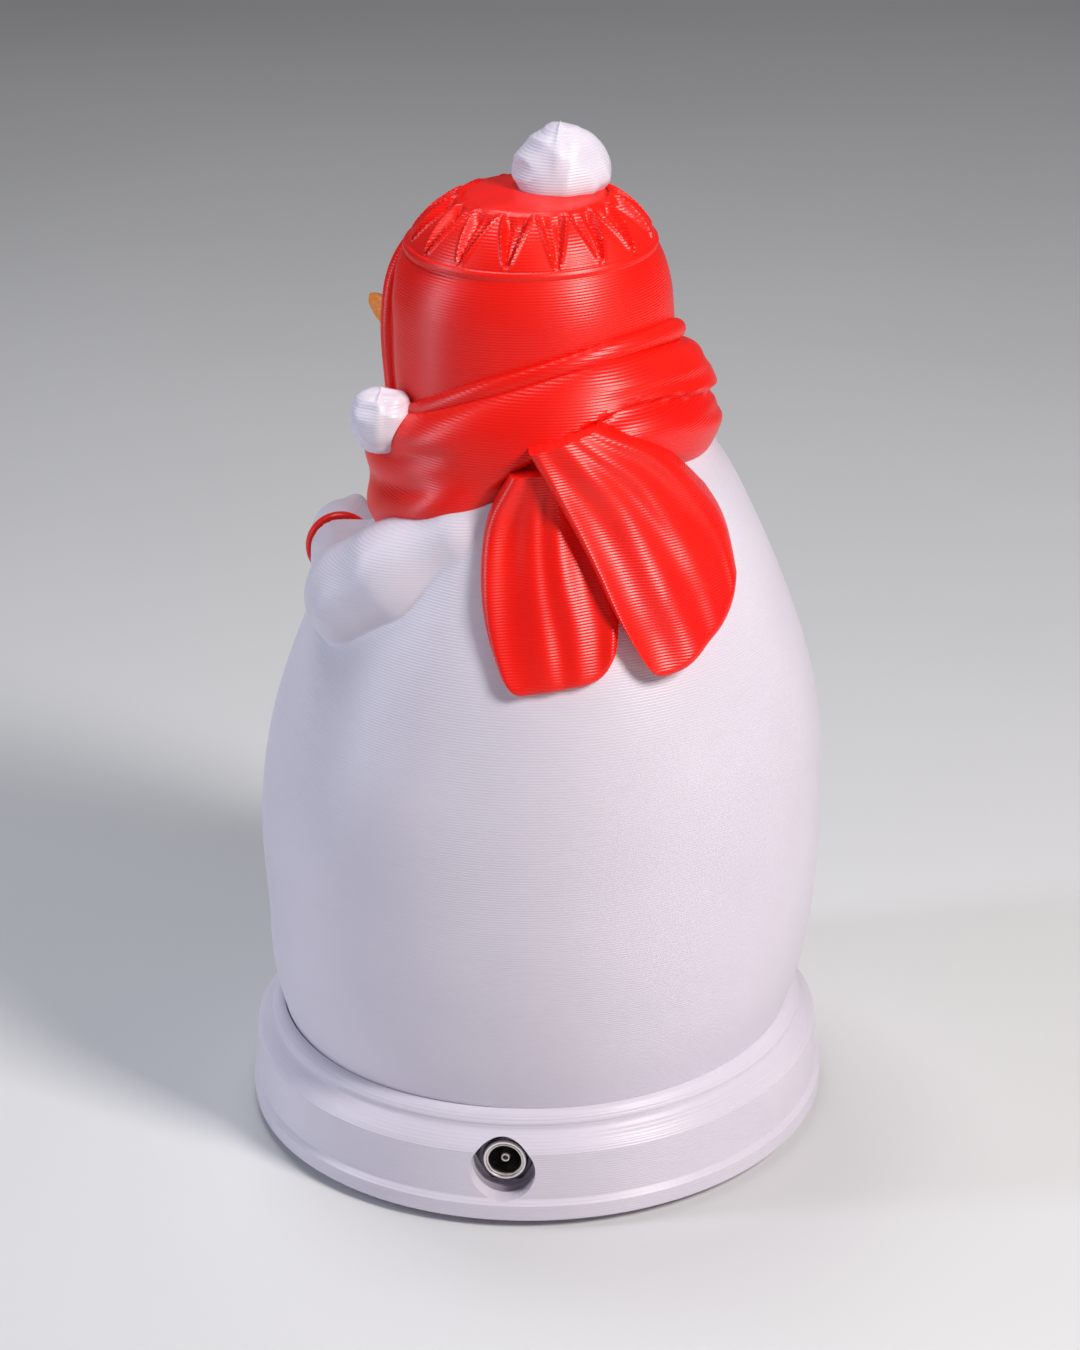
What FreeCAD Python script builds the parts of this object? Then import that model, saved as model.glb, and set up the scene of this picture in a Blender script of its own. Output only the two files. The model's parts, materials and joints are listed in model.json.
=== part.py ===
"""Snowman table lamp: a hollow moulded figure that sits on a round base with a DC socket.

Millimetres, +Z up. The origin is under the middle of the base, on the plane of the feet.
The face looks along -Y and the figure's left hand is on +X. The socket's side of the base is
turned 50 degrees away from the figure's back, because the round figure turns freely in the base.
"""
import FreeCAD, Part
import math
import os
from FreeCAD import Vector

# ---- driving dimensions -------------------------------------------------------------------
BASE_R = 55.0                 # plinth, the widest part of the lamp
FEET_H = 1.6                  # the base stands this far off the table
FASCIA_R = 54.1               # upright band above the plinth
SEAT_R = 48.4                 # inside of the base's top ring
RING_TOP_Z = 21.5             # top edge of the base's ring
DECK_Z = 18.0                 # top of the deck inside the ring
DECK_T = 2.6
BASE_WALL = 2.6
COVER_R = 51.6
COVER_T = 2.4
POST_R = 3.6                  # screw posts inside the base
SCREW_HEAD_T = 1.1
GAP = 0.3                     # between pieces that move against each other
GLUE = 0.05                   # between pieces that are bonded

SOCKET_ANGLE = 39.0           # degrees from +X towards +Y
SOCKET_Z = 11.4
SOCKET_FACE_R = 50.0          # the socket's front face, measured from the lamp's axis
SOCKET_POCKET_R = 6.0
SOCKET_POCKET_FLOOR_R = 47.6
BARREL_R = 4.0                # M8 barrel of a 5.5 x 2.1 mm panel socket
BARREL_BORE_R = 2.85
BARREL_BACK_R = 38.5          # back end of the barrel
BARREL_FLANGE_R = 5.6
BARREL_FLANGE_T = 2.0
BORE_FLOOR_R = 40.5           # bottom of the bore
PIN_R = 1.0
NUT_FLATS = 10.0
LEAD_R = 0.7

COLUMN_R = 7.5
COLUMN_WALL = 1.6
COLUMN_FOOT_R = 18.0
COLUMN_TOP_Z = 98.0
CHIP_ROWS = 9
CHIPS_PER_ROW = 5
SHELL_T = 1.8                 # printed wall of the figure
RIB_R = 41.0                  # inside of the turning ring, guided by the deck's rib
TURNING_RING_H = 8.0

RIM_Z = 19.9                  # lower rim of the figure
BODY_TOP_Z = 136.6
# height, radius and backward offset of the round body's sections
BODY_SECTIONS = [
    (RIM_Z, 47.3, 0.0), (30.4, 50.1, 0.9), (41.8, 51.6, 2.1), (61.7, 52.4, 2.6),
    (81.6, 50.4, 4.4), (94.9, 46.7, 5.5), (106.3, 42.4, 6.4), (117.7, 37.6, 6.9),
    (129.1, 32.4, 6.3), (BODY_TOP_Z, 28.1, 5.3),
]
HEAD_C = Vector(0, 1.9, 149.9)
HEAD_R = 22.8
EYE_ACROSS = 19.0             # angles of the face's coals, seen from the head's centre
EYE_UP = 16.0
MOUTH_STEP = 9.0
MOUTH_LOW = -19.0
MOUTH_RISE = 1.3
NOSE_TIP = Vector(0, -39.6, 147.6)
BUTTON_HEIGHTS = (90.0, 77.0, 64.0)
NECK_R = 13.0                 # dowel between the body and the head
NECK_FLANGE_R = 14.2

SHOULDER = Vector(27.4, 14.7, 127.0)
UPPER_ARM = Vector(33.4, 2.2, 116.7)
ELBOW = Vector(35.3, -6.3, 110.7)
WRIST = Vector(19.7, -28.8, 109.3)
HAND = Vector(13.1, -34.9, 108.5)
FINGERS = Vector(8.0, -39.0, 105.6)
SHOULDER_R = 6.0
UPPER_ARM_R = 8.8
ELBOW_R = 8.6
WRIST_R = 5.6
PALM_R = 6.0
FINGERS_R = 5.0
CUFF_W = 2.5

HAT_WALL = 2.2
HAT_BACK = 2.3                # the head and the hat stand this far back
# height, radius and backward offset of the hat's sections, the last one at the pleats' ridge
HAT_SECTIONS = [
    (132.8, 24.9, HAT_BACK), (142.3, 25.4, HAT_BACK), (149.9, 25.8, HAT_BACK), (156.6, 25.7, HAT_BACK),
    (163.2, 25.0, 2.4), (167.9, 23.3, 2.8), (171.2, 21.1, 3.4),
]
CROWN_BACK = 4.2
CROWN_R = 13.1
CROWN_Z = 177.9
CROWN_T = 1.3
BRIM_Z = 145.4                # height of the brim's plane over the hat's axis
BRIM_TILT = 24.4              # degrees, high at the back
BRIM_R = 26.7
BRIM_ROLL_R = 2.0
BRIM_HALF_ANGLE = 115.0       # the roll ends at the ear flaps
FACE_HALF_W = 17.5
FACE_SPRING_Z = 153.5         # the arch over the face starts at this height

SCARF_Z = 137.3
SCARF_TILT = 14.9
SCARF_BACK = 4.5
SCARF_R = 25.6
SCARF_HALF_W = 6.4
SCARF_HALF_H = 8.2
TAIL_HEADING = 46.0           # the tails lie on this side, in degrees from +X towards +Y
TAIL_LOW_T = 3.2
TAIL_UP_T = 6.2
# outlines of the two scarf ends: sideways and up, seen square on from the tails' side
TAIL_LOW = [
    (4.7, 140.4), (-4.2, 138.5), (-7.5, 126.2), (-7.0, 112.9), (-3.4, 104.2), (5.7, 104.4),
    (14.1, 106.2), (17.5, 112.9), (13.8, 127.2),
]
TAIL_UP = [
    (0.7, 141.8), (11.0, 124.8), (16.7, 113.4), (23.4, 105.6), (30.3, 108.2), (37.6, 115.6),
    (36.4, 122.7), (32.1, 130.2), (24.8, 140.2), (14.2, 146.6), (5.2, 145.6),
]

POMPOM_TOP_C = Vector(-6.0, 4.9, 183.9)
POMPOM_TOP_R = (8.0, 7.0)     # sideways and upward radii
POMPOM_EAR_C = Vector(30.6, -5.6, 141.2)
POMPOM_EAR_R = (5.9, 6.3)

# the lamp's standing heights, from the dimensions above
COVER_TOP_Z = FEET_H + COVER_T
DECK_LOW_Z = DECK_Z - DECK_T
STRIP_LOW_Z = DECK_Z + 5.0
STRIP_HIGH_Z = COLUMN_TOP_Z - 4.0
RING_LOW_Z = DECK_Z + GAP
RING_FLANGE_TOP = RIM_Z - GAP
BARREL_FLANGE_FACE_R = SOCKET_POCKET_FLOOR_R - 2.4
TAB_OFFSETS = (2.0, -2.0)
TAB_BACK_R = BARREL_BACK_R - 5.0 - GLUE

PARTS_DIR = "parts"


# ---- helpers ------------------------------------------------------------------------------
def polar(radius, degrees, z=0.0):
    """A point at a radius and a compass angle about the lamp's axis."""
    a = math.radians(degrees)
    return Vector(radius * math.cos(a), radius * math.sin(a), z)


def circle_wire(centre, radius, normal=Vector(0, 0, 1)):
    return Part.Wire([Part.makeCircle(radius, centre, normal)])


def revolved(points):
    """A solid of revolution about Z from (radius, z) corners."""
    corners = [Vector(r, 0, z) for r, z in points]
    face = Part.Face(Part.makePolygon(corners + corners[:1]))
    return face.revolve(Vector(0, 0, 0), Vector(0, 0, 1), 360)


def tube(r_out, r_in, z_low, z_high, axis_xy=(0.0, 0.0)):
    base = Vector(axis_xy[0], axis_xy[1], z_low)
    outer = Part.makeCylinder(r_out, z_high - z_low, base)
    inner = Part.makeCylinder(r_in, z_high - z_low + 2, base - Vector(0, 0, 1))
    return outer.cut(inner)


def ball(centre, r_side, r_up, tilt=None):
    """An ellipsoid of revolution about Z, tilted as (axis, degrees) if asked."""
    solid = Part.makeSphere(1.0)
    matrix = FreeCAD.Matrix()
    matrix.scale(r_side, r_side, r_up)
    solid = solid.transformGeometry(matrix)
    if tilt:
        solid.rotate(Vector(0, 0, 0), tilt[0], tilt[1])
    solid.translate(centre)
    return solid


def limb(start, r_start, end, r_end):
    """A round tapered bar with ball ends."""
    axis = end - start
    bar = Part.makeCone(r_start, r_end, axis.Length, start, axis)
    return bar.fuse([Part.makeSphere(r_start, start), Part.makeSphere(r_end, end)])


def mirrored(shape):
    """The same piece on the figure's right side."""
    return shape.mirror(Vector(0, 0, 0), Vector(1, 0, 0))


def group(shapes):
    return Part.makeCompound(shapes)


def largest(shape):
    return max(shape.Solids, key=lambda solid: solid.Volume)


def body_solid(grow=0.0):
    """The body's egg, grown or shrunk by a distance."""
    wires = []
    for z, radius, back in BODY_SECTIONS:
        wires.append(circle_wire(Vector(0, back, z), radius + grow))
    return Part.makeLoft(wires, True, False)


def tilted(shape, degrees, height):
    """Tilt about X so that the back (+Y) goes up, then lift."""
    shape.rotate(Vector(0, 0, 0), Vector(1, 0, 0), degrees)
    shape.translate(Vector(0, 0, height))
    return shape


# ---- base ---------------------------------------------------------------------------------
def socket_axis():
    return polar(1.0, SOCKET_ANGLE)


def along_socket(radius):
    return polar(radius, SOCKET_ANGLE, SOCKET_Z)


def screw_places(radius, count, first):
    return [polar(radius, first + i * 360.0 / count) for i in range(count)]


COVER_SCREWS = screw_places(42.0, 4, SOCKET_ANGLE + 45.0)
COLUMN_SCREWS = screw_places(13.0, 3, 90.0)
FEET = screw_places(44.5, 4, SOCKET_ANGLE)


def base_housing():
    """Moulded base: plinth, fascia, shoulder, cove and top ring over a flat deck."""
    inner_r = FASCIA_R - BASE_WALL
    rebate_r = COVER_R + 0.2
    rebate_z = COVER_TOP_Z + 0.2
    shell = revolved([
        (rebate_r, FEET_H), (BASE_R - 0.4, FEET_H), (BASE_R, FEET_H + 0.4), (BASE_R, 4.8),
        (FASCIA_R, 5.8), (FASCIA_R - 0.3, 15.0), (53.3, 15.8), (52.3, 16.8), (51.0, 17.8),
        (50.6, 18.3), (50.5, 18.9), (50.6, 19.5), (50.2, 20.3), (49.6, 21.0), (48.9, 21.4),
        (SEAT_R, RING_TOP_Z), (SEAT_R, DECK_Z), (RIB_R, DECK_Z), (RIB_R, DECK_Z + 2.6),
        (RIB_R - 1.6, DECK_Z + 2.6), (RIB_R - 1.6, DECK_Z), (10.0, DECK_Z), (10.0, DECK_LOW_Z),
        (inner_r - 6.0, DECK_LOW_Z), (inner_r - 1.0, DECK_LOW_Z - 4.0), (inner_r - 0.4, rebate_z),
        (rebate_r, rebate_z),
    ])
    pocket = Part.makeCylinder(SOCKET_POCKET_R, 12.0, along_socket(SOCKET_POCKET_FLOOR_R), socket_axis())
    panel = Part.makeCylinder(9.0, 4.0, along_socket(BARREL_FLANGE_FACE_R), socket_axis())
    panel = panel.common(Part.makeCylinder(BASE_R, DECK_LOW_Z + 0.5 - rebate_z, Vector(0, 0, rebate_z)))
    hole = Part.makeCylinder(BARREL_R + 0.15, 20.0, along_socket(38.0), socket_axis())
    relief = Part.makeCylinder(BARREL_FLANGE_R + 0.15, BARREL_FLANGE_T + 1.0,
                               along_socket(BARREL_FLANGE_FACE_R - BARREL_FLANGE_T - 1.0), socket_axis())
    shell = shell.fuse(panel).cut(pocket).cut(hole).cut(relief)
    for place in COVER_SCREWS:
        post = tube(POST_R, 1.25, rebate_z, DECK_LOW_Z + 0.3, (place.x, place.y))
        shell = shell.fuse(post)
    for place in COLUMN_SCREWS:
        shell = shell.cut(Part.makeCylinder(1.7, 8.0, place + Vector(0, 0, DECK_LOW_Z - 1)))
    return largest(shell.removeSplitter())


def bottom_cover():
    plate = Part.makeCylinder(COVER_R, COVER_T, Vector(0, 0, FEET_H))
    for place in COVER_SCREWS:
        plate = plate.cut(Part.makeCylinder(1.7, 10.0, place))
        plate = plate.cut(Part.makeCylinder(3.1, 1.4, place + Vector(0, 0, FEET_H - 0.2)))
    for place in FEET:
        plate = plate.cut(Part.makeCylinder(5.2, 0.8, place + Vector(0, 0, FEET_H - 0.2)))
    return plate


def screws(places, head_z, tip_z, head_r, shank_r):
    """Slotted pan-head screws, driven upwards from below."""
    solids = []
    for place in places:
        shank = Part.makeCylinder(shank_r, tip_z - head_z, place + Vector(0, 0, head_z))
        head = Part.makeCylinder(head_r, SCREW_HEAD_T, place + Vector(0, 0, head_z))
        slot = Part.makeBox(head_r * 1.4, 0.6, 0.5)
        slot.translate(place + Vector(-head_r * 0.7, -0.3, head_z))
        solids.append(shank.fuse(head).cut(slot))
    return group(solids)


def rubber_feet():
    return group([Part.makeCylinder(5.0, FEET_H + 0.6, place) for place in FEET])


def dc_jack_barrel():
    """Threaded metal barrel with its inner flange, bored for the plug."""
    length = SOCKET_FACE_R - BARREL_BACK_R
    barrel = Part.makeCylinder(BARREL_R, length, along_socket(BARREL_BACK_R), socket_axis())
    flange = Part.makeCylinder(BARREL_FLANGE_R, BARREL_FLANGE_T,
                               along_socket(BARREL_FLANGE_FACE_R - BARREL_FLANGE_T - GLUE), socket_axis())
    bore = Part.makeCylinder(BARREL_BORE_R, length, along_socket(BORE_FLOOR_R), socket_axis())
    rim = Part.makeCone(BARREL_BORE_R, BARREL_BORE_R + 0.45, 0.45, along_socket(SOCKET_FACE_R - 0.45),
                        socket_axis())
    return barrel.fuse(flange).cut(bore).cut(rim)


def dc_jack_insulator():
    """Black moulding at the bottom of the bore, round the pin."""
    plug = Part.makeCylinder(BARREL_BORE_R - GLUE, 2.2, along_socket(BORE_FLOOR_R + GLUE), socket_axis())
    return plug.cut(Part.makeCylinder(PIN_R + GLUE, 10.0, along_socket(BORE_FLOOR_R - 2.0), socket_axis()))


def dc_jack_pin():
    """Centre contact, hollow at its tip."""
    front = SOCKET_FACE_R - 0.9
    back = BORE_FLOOR_R + GLUE
    pin = Part.makeCylinder(PIN_R, front - back, along_socket(back), socket_axis())
    return pin.cut(Part.makeCylinder(0.45, 4.0, along_socket(front - 2.5), socket_axis()))


def dc_jack_nut():
    """Hexagon with one flat pair upright, screwed on from outside."""
    thickness = SOCKET_FACE_R - 0.9 - SOCKET_POCKET_FLOOR_R - GLUE
    corner_r = NUT_FLATS / math.sqrt(3)
    corners = [Vector(corner_r * math.cos(math.radians(60 * i)), corner_r * math.sin(math.radians(60 * i)), 0)
               for i in range(7)]
    nut = Part.Face(Part.makePolygon(corners)).extrude(Vector(0, 0, thickness))
    nut = nut.cut(Part.makeCylinder(BARREL_R + GLUE, 10.0, Vector(0, 0, -1)))
    nut.Placement = FreeCAD.Placement(along_socket(SOCKET_POCKET_FLOOR_R + GLUE),
                                      FreeCAD.Rotation(Vector(0, 0, 1), socket_axis()))
    return nut


def dc_jack_tabs():
    """Two solder tabs at the socket's back."""
    solids = []
    for offset in TAB_OFFSETS:
        tab = Part.makeBox(5.0, 0.5, 1.8)
        tab.translate(Vector(TAB_BACK_R, offset - 0.25, SOCKET_Z - 0.9))
        tab.rotate(Vector(0, 0, 0), Vector(0, 0, 1), SOCKET_ANGLE)
        solids.append(tab)
    return group(solids)


def lead(offset):
    """One insulated wire from a tab to the foot of the column, straight runs with round bends."""
    points = [Vector(TAB_BACK_R - GLUE, offset, SOCKET_Z), Vector(18.0, offset, SOCKET_Z - 3.0),
              Vector(2.0, offset, SOCKET_Z - 2.0), Vector(0.5, offset, DECK_Z + 3.0)]
    edges = []
    cursor = points[0]
    for before, corner, after in zip(points, points[1:], points[2:]):
        way_in = (corner - before).normalize()
        way_out = (after - corner).normalize()
        reach = 0.4 * min((corner - before).Length, (after - corner).Length)
        arc_start = corner - way_in * reach
        arc_end = corner + way_out * reach
        turn = way_in.getAngle(way_out)
        radius = reach / math.tan(turn / 2)
        centre = arc_start + ((way_out - way_in * math.cos(turn)).normalize()) * radius
        middle = centre + (corner - centre).normalize() * radius
        edges.append(Part.LineSegment(cursor, arc_start).toShape())
        edges.append(Part.Arc(arc_start, middle, arc_end).toShape())
        cursor = arc_end
    edges.append(Part.LineSegment(cursor, points[-1]).toShape())
    path = Part.Wire(edges)
    profile = circle_wire(points[0], LEAD_R, points[1] - points[0])
    solid = path.makePipeShell([profile], True, False)
    solid.rotate(Vector(0, 0, 0), Vector(0, 0, 1), SOCKET_ANGLE)
    return solid


def led_column():
    """Hollow post with a screwed foot flange; the light strip is wound on it."""
    bore_r = COLUMN_R - COLUMN_WALL
    post = tube(COLUMN_R, bore_r, DECK_Z, COLUMN_TOP_Z)
    cap = Part.makeCylinder(COLUMN_R, COLUMN_WALL, Vector(0, 0, COLUMN_TOP_Z - COLUMN_WALL))
    foot = tube(COLUMN_FOOT_R, bore_r, DECK_Z, DECK_Z + 2.0)
    column = post.fuse([cap, foot])
    for place in COLUMN_SCREWS:
        column = column.cut(Part.makeCylinder(1.35, 6.0, place + Vector(0, 0, DECK_Z - 1)))
    return column.removeSplitter()


def led_strip():
    return tube(COLUMN_R + 0.45, COLUMN_R + GLUE, STRIP_LOW_Z, STRIP_HIGH_Z)


def led_chips():
    """White light-emitting packages on the strip, in staggered rows."""
    pitch = (STRIP_HIGH_Z - STRIP_LOW_Z) / CHIP_ROWS
    solids = []
    for row in range(CHIP_ROWS):
        for column in range(CHIPS_PER_ROW):
            chip = Part.makeBox(1.4, 3.0, 3.0)
            chip.translate(Vector(COLUMN_R + 0.45 + GLUE, -1.5, STRIP_LOW_Z + (row + 0.5) * pitch - 1.5))
            chip.rotate(Vector(0, 0, 0), Vector(0, 0, 1), (column + 0.5 * (row % 2)) * 360.0 / CHIPS_PER_ROW)
            solids.append(chip)
    return group(solids)


# ---- turning ring -------------------------------------------------------------------------
def turning_ring():
    """Ring that lies on the deck round the base's rib; the figure's rim stands on its flange."""
    bore_r = RIB_R + GAP
    flange_r = SEAT_R - 0.4
    collar_r = BODY_SECTIONS[0][1] - SHELL_T - GAP
    collar_z = RING_FLANGE_TOP + TURNING_RING_H
    return revolved([
        (bore_r, RING_LOW_Z), (flange_r, RING_LOW_Z), (flange_r, RING_FLANGE_TOP),
        (collar_r, RING_FLANGE_TOP), (collar_r, collar_z - 0.8), (collar_r - 0.8, collar_z),
        (bore_r, collar_z),
    ])


# ---- figure -------------------------------------------------------------------------------
def arm():
    """Sleeve from the shoulder round the elbow to the wrist."""
    shoulder = limb(SHOULDER, SHOULDER_R, UPPER_ARM, UPPER_ARM_R)
    upper = limb(UPPER_ARM, UPPER_ARM_R, ELBOW, ELBOW_R)
    fore = limb(ELBOW, ELBOW_R, WRIST, WRIST_R)
    return shoulder.fuse([upper, fore])


def wrist_direction():
    return (WRIST - ELBOW).normalize()


def beyond_wrist(distance=0.0):
    """A big block on the hand's side of the wrist plane."""
    start = WRIST + wrist_direction() * distance
    return Part.makeCylinder(30.0, 60.0, start, wrist_direction())


def body_shell(outer, inner):
    left_arm = arm().cut(beyond_wrist())
    solid = outer.fuse([left_arm, mirrored(left_arm)])
    solid = solid.cut(inner)
    solid = solid.cut(Part.makeCylinder(NECK_R + GLUE, 20.0, Vector(0, 0, BODY_TOP_Z - 10)))
    return largest(solid)


def cuff_band(outer):
    direction = wrist_direction()
    start = WRIST + direction * GLUE
    band = Part.makeCylinder(WRIST_R + 1.3, CUFF_W, start, direction)
    return largest(band.cut(outer))


def mitten(outer):
    direction = wrist_direction()
    start = WRIST + direction * (CUFF_W + 2 * GLUE)
    palm = limb(WRIST, WRIST_R - 0.3, HAND, PALM_R)
    fingers = limb(HAND, PALM_R, FINGERS, FINGERS_R)
    thumb = limb(HAND + Vector(1.0, 1.0, 2.6), 2.6, HAND + Vector(-3.6, -1.0, 4.2), 2.2)
    solid = palm.fuse([fingers, thumb])
    keep = Part.makeCylinder(30.0, 60.0, start, direction)
    left_side = Part.makeBox(60.0, 120.0, 60.0, Vector(GLUE, -90.0, 80.0))
    return largest(solid.common(keep).common(left_side).cut(outer))


def neck_dowel():
    """Stepped ring that lines the head up on the body."""
    return revolved([
        (NECK_R - 2.0, BODY_TOP_Z - 8.0), (NECK_R, BODY_TOP_Z - 8.0), (NECK_R, BODY_TOP_Z + GLUE),
        (NECK_FLANGE_R, BODY_TOP_Z + GLUE), (NECK_FLANGE_R, BODY_TOP_Z + 2.0), (NECK_R - 2.0, BODY_TOP_Z + 2.0),
    ])


def head_shell():
    """Ball, flat and open below for the dowel, and flat and open above under the hat's top plate."""
    low_z = BODY_TOP_Z + GLUE
    high_z = HAT_SECTIONS[-1][0] - HAT_WALL - GLUE
    kept = Part.makeCylinder(2 * HEAD_R, high_z - low_z, Vector(0, 0, low_z))
    outer = Part.makeSphere(HEAD_R, HEAD_C).common(kept)
    return outer.cut(Part.makeSphere(HEAD_R - SHELL_T, HEAD_C))


def face_cap(across, up, r_side, depth):
    """A coal or button pressed on the head at an angle across and up from its front."""
    a, e = math.radians(across), math.radians(up)
    out = Vector(math.sin(a) * math.cos(e), -math.cos(a) * math.cos(e), math.sin(e))
    dome = ball(Vector(0, 0, 0), r_side, depth)
    dome = dome.common(Part.makeBox(20, 20, 20, Vector(-10, -10, 0)))
    dome.Placement = FreeCAD.Placement(HEAD_C + out * (HEAD_R + GLUE), FreeCAD.Rotation(Vector(0, 0, 1), out))
    head = Part.makeSphere(HEAD_R + 0.02, HEAD_C)
    return dome.cut(head)


def eyes():
    return group([face_cap(side * EYE_ACROSS, EYE_UP, 2.3, 1.5) for side in (-1, 1)])


def mouth_coals():
    """Five coals on a smiling arc."""
    solids = []
    for step in (-2, -1, 0, 1, 2):
        solids.append(face_cap(step * MOUTH_STEP, MOUTH_LOW + MOUTH_RISE * step ** 2, 1.35, 1.0))
    return group(solids)


def carrot_nose():
    """Tapered, a little sagging in its middle and turned up at its tip."""
    root = HEAD_C + Vector(0, -HEAD_R + 1.0, -1.8)
    along = NOSE_TIP - root
    middle = root + along * 0.55 + Vector(0, 0, -0.9)
    wires = [circle_wire(root, 4.0, along), circle_wire(middle, 2.8, along),
             circle_wire(NOSE_TIP, 1.1, along + Vector(0, 0, 2.0))]
    nose = Part.makeLoft(wires, True, False)
    return largest(nose.cut(Part.makeSphere(HEAD_R + GLUE, HEAD_C)))


def coat_buttons(outer):
    """Three coals down the belly."""
    solids = []
    for z in BUTTON_HEIGHTS:
        dome = ball(Vector(0, 0, 0), 3.0, 1.9)
        dome.rotate(Vector(0, 0, 0), Vector(1, 0, 0), 90)
        front = front_of_body(z)
        dome.translate(Vector(0, -front, z))
        solids.append(largest(dome.cut(outer)))
    return group(solids)


def front_of_body(z):
    """How far the body's front stands from the axis at a height."""
    for low, high in zip(BODY_SECTIONS, BODY_SECTIONS[1:]):
        if low[0] <= z <= high[0]:
            part = (z - low[0]) / (high[0] - low[0])
            radius = low[1] + part * (high[1] - low[1])
            back = low[2] + part * (high[2] - low[2])
            return radius - back
    raise ValueError("height outside the body")


# ---- hat ----------------------------------------------------------------------------------
def hat_solid(shrink=0.0):
    wires = [circle_wire(Vector(0, back, z), radius - shrink) for z, radius, back in HAT_SECTIONS]
    solid = Part.makeLoft(wires, True, False)
    solid.translate(Vector(0, 0, -shrink))
    return solid


def below_brim():
    """Everything under the brim's tilted plane."""
    block = tilted(Part.makeBox(120.0, 120.0, 60.0, Vector(-60.0, -60.0, -60.0)), BRIM_TILT, BRIM_Z)
    block.translate(Vector(0, HAT_BACK, 0))
    return block


def face_opening():
    """Arch through the hat's front."""
    arch = Part.makeCylinder(FACE_HALF_W, 60.0, Vector(0, 0, FACE_SPRING_Z), Vector(0, -1, 0))
    jambs = Part.makeBox(2 * FACE_HALF_W, 60.0, 60.0, Vector(-FACE_HALF_W, -60.0, FACE_SPRING_Z - 60.0))
    return arch.fuse(jambs)


def hat_brim_roll():
    """Rolled edge from one ear flap round the back to the other."""
    ring = Part.makeTorus(BRIM_R, BRIM_ROLL_R, Vector(0, 0, 0), Vector(0, 0, 1), 0, 360, 2 * BRIM_HALF_ANGLE)
    ring.rotate(Vector(0, 0, 0), Vector(0, 0, 1), 90.0 - BRIM_HALF_ANGLE)
    ring = tilted(ring, BRIM_TILT, BRIM_Z)
    ring.translate(Vector(0, HAT_BACK, 0))
    return ring


def hat_shell(brim):
    shell = hat_solid().cut(hat_solid(HAT_WALL)).cut(below_brim()).cut(face_opening())
    return largest(largest(shell).cut(brim))


def crown_gathers():
    """Ring of radial pleats between the ridge and the crown disc."""
    ridge_z, ridge_r, ridge_back = HAT_SECTIONS[-1]
    low = ridge_z + GLUE
    wires = [circle_wire(Vector(0, ridge_back, low), ridge_r - 0.3),
             circle_wire(Vector(0, ridge_back, low + 1.6), ridge_r - 1.6),
             circle_wire(Vector(0, CROWN_BACK, CROWN_Z - GLUE), CROWN_R)]
    ring = Part.makeLoft(wires, True, True)
    return ring.cut(Part.makeCylinder(8.5, 30.0, Vector(0, CROWN_BACK, low - 10.0)))


def crown_disc():
    disc = revolved([(0, CROWN_Z), (CROWN_R, CROWN_Z), (CROWN_R - 0.6, CROWN_Z + CROWN_T),
                     (0, CROWN_Z + CROWN_T + 0.4)])
    disc.translate(Vector(0, CROWN_BACK, 0))
    return disc


def top_pompom(disc):
    pompom = ball(POMPOM_TOP_C, *POMPOM_TOP_R)
    return largest(pompom.cut(disc))


def ear_pompom(brim, hat):
    pompom = ball(POMPOM_EAR_C, *POMPOM_EAR_R)
    return largest(pompom.cut(brim).cut(hat))


# ---- scarf --------------------------------------------------------------------------------
def scarf_wrap(outer, hat_pieces):
    section = Part.Ellipse(Vector(0, 0, 0), SCARF_HALF_H, SCARF_HALF_W).toShape()
    section.rotate(Vector(0, 0, 0), Vector(0, 0, 1), 90)
    section.rotate(Vector(0, 0, 0), Vector(1, 0, 0), 90)
    section.translate(Vector(SCARF_R, 0, 0))
    wrap = Part.Face(Part.Wire([section])).revolve(Vector(0, 0, 0), Vector(0, 0, 1), 360)
    wrap = tilted(wrap, SCARF_TILT, SCARF_Z)
    wrap.translate(Vector(0, SCARF_BACK, 0))
    wrap = wrap.cut(outer)
    wrap = wrap.cut(Part.makeSphere(HEAD_R + GLUE, HEAD_C))
    hat_filled = hat_solid(-GLUE).cut(below_brim())
    wrap = wrap.cut(hat_filled)
    for piece in hat_pieces:
        wrap = wrap.cut(piece)
    return largest(wrap)


def outline_prism(outline):
    """A scarf end's outline pushed through towards the tails' side."""
    right = Vector(-math.sin(math.radians(TAIL_HEADING)), math.cos(math.radians(TAIL_HEADING)), 0)
    corners = [right * u + Vector(0, 0, z) for u, z in outline]
    curve = Part.BSplineCurve()
    curve.interpolate(corners, PeriodicFlag=True)
    face = Part.Face(Part.Wire([curve.toShape()]))
    return face.extrude(polar(90.0, TAIL_HEADING))


def scarf_tail(outline, thickness, others):
    tail = outline_prism(outline).common(draped_solid(thickness))
    for other in others:
        tail = tail.cut(other)
    return largest(tail)


def draped_solid(grow):
    """The grown body carried up past its top, so that a scarf end has something to lie on."""
    wires = []
    for z, radius, back in BODY_SECTIONS[3:-1]:
        wires.append(circle_wire(Vector(0, back, z), radius + grow))
    wires.append(circle_wire(Vector(0, 5.0, 140.4), 31.3 + grow))
    wires.append(circle_wire(Vector(0, 4.2, 151.8), 29.4 + grow))
    return Part.makeLoft(wires, True, False)


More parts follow.
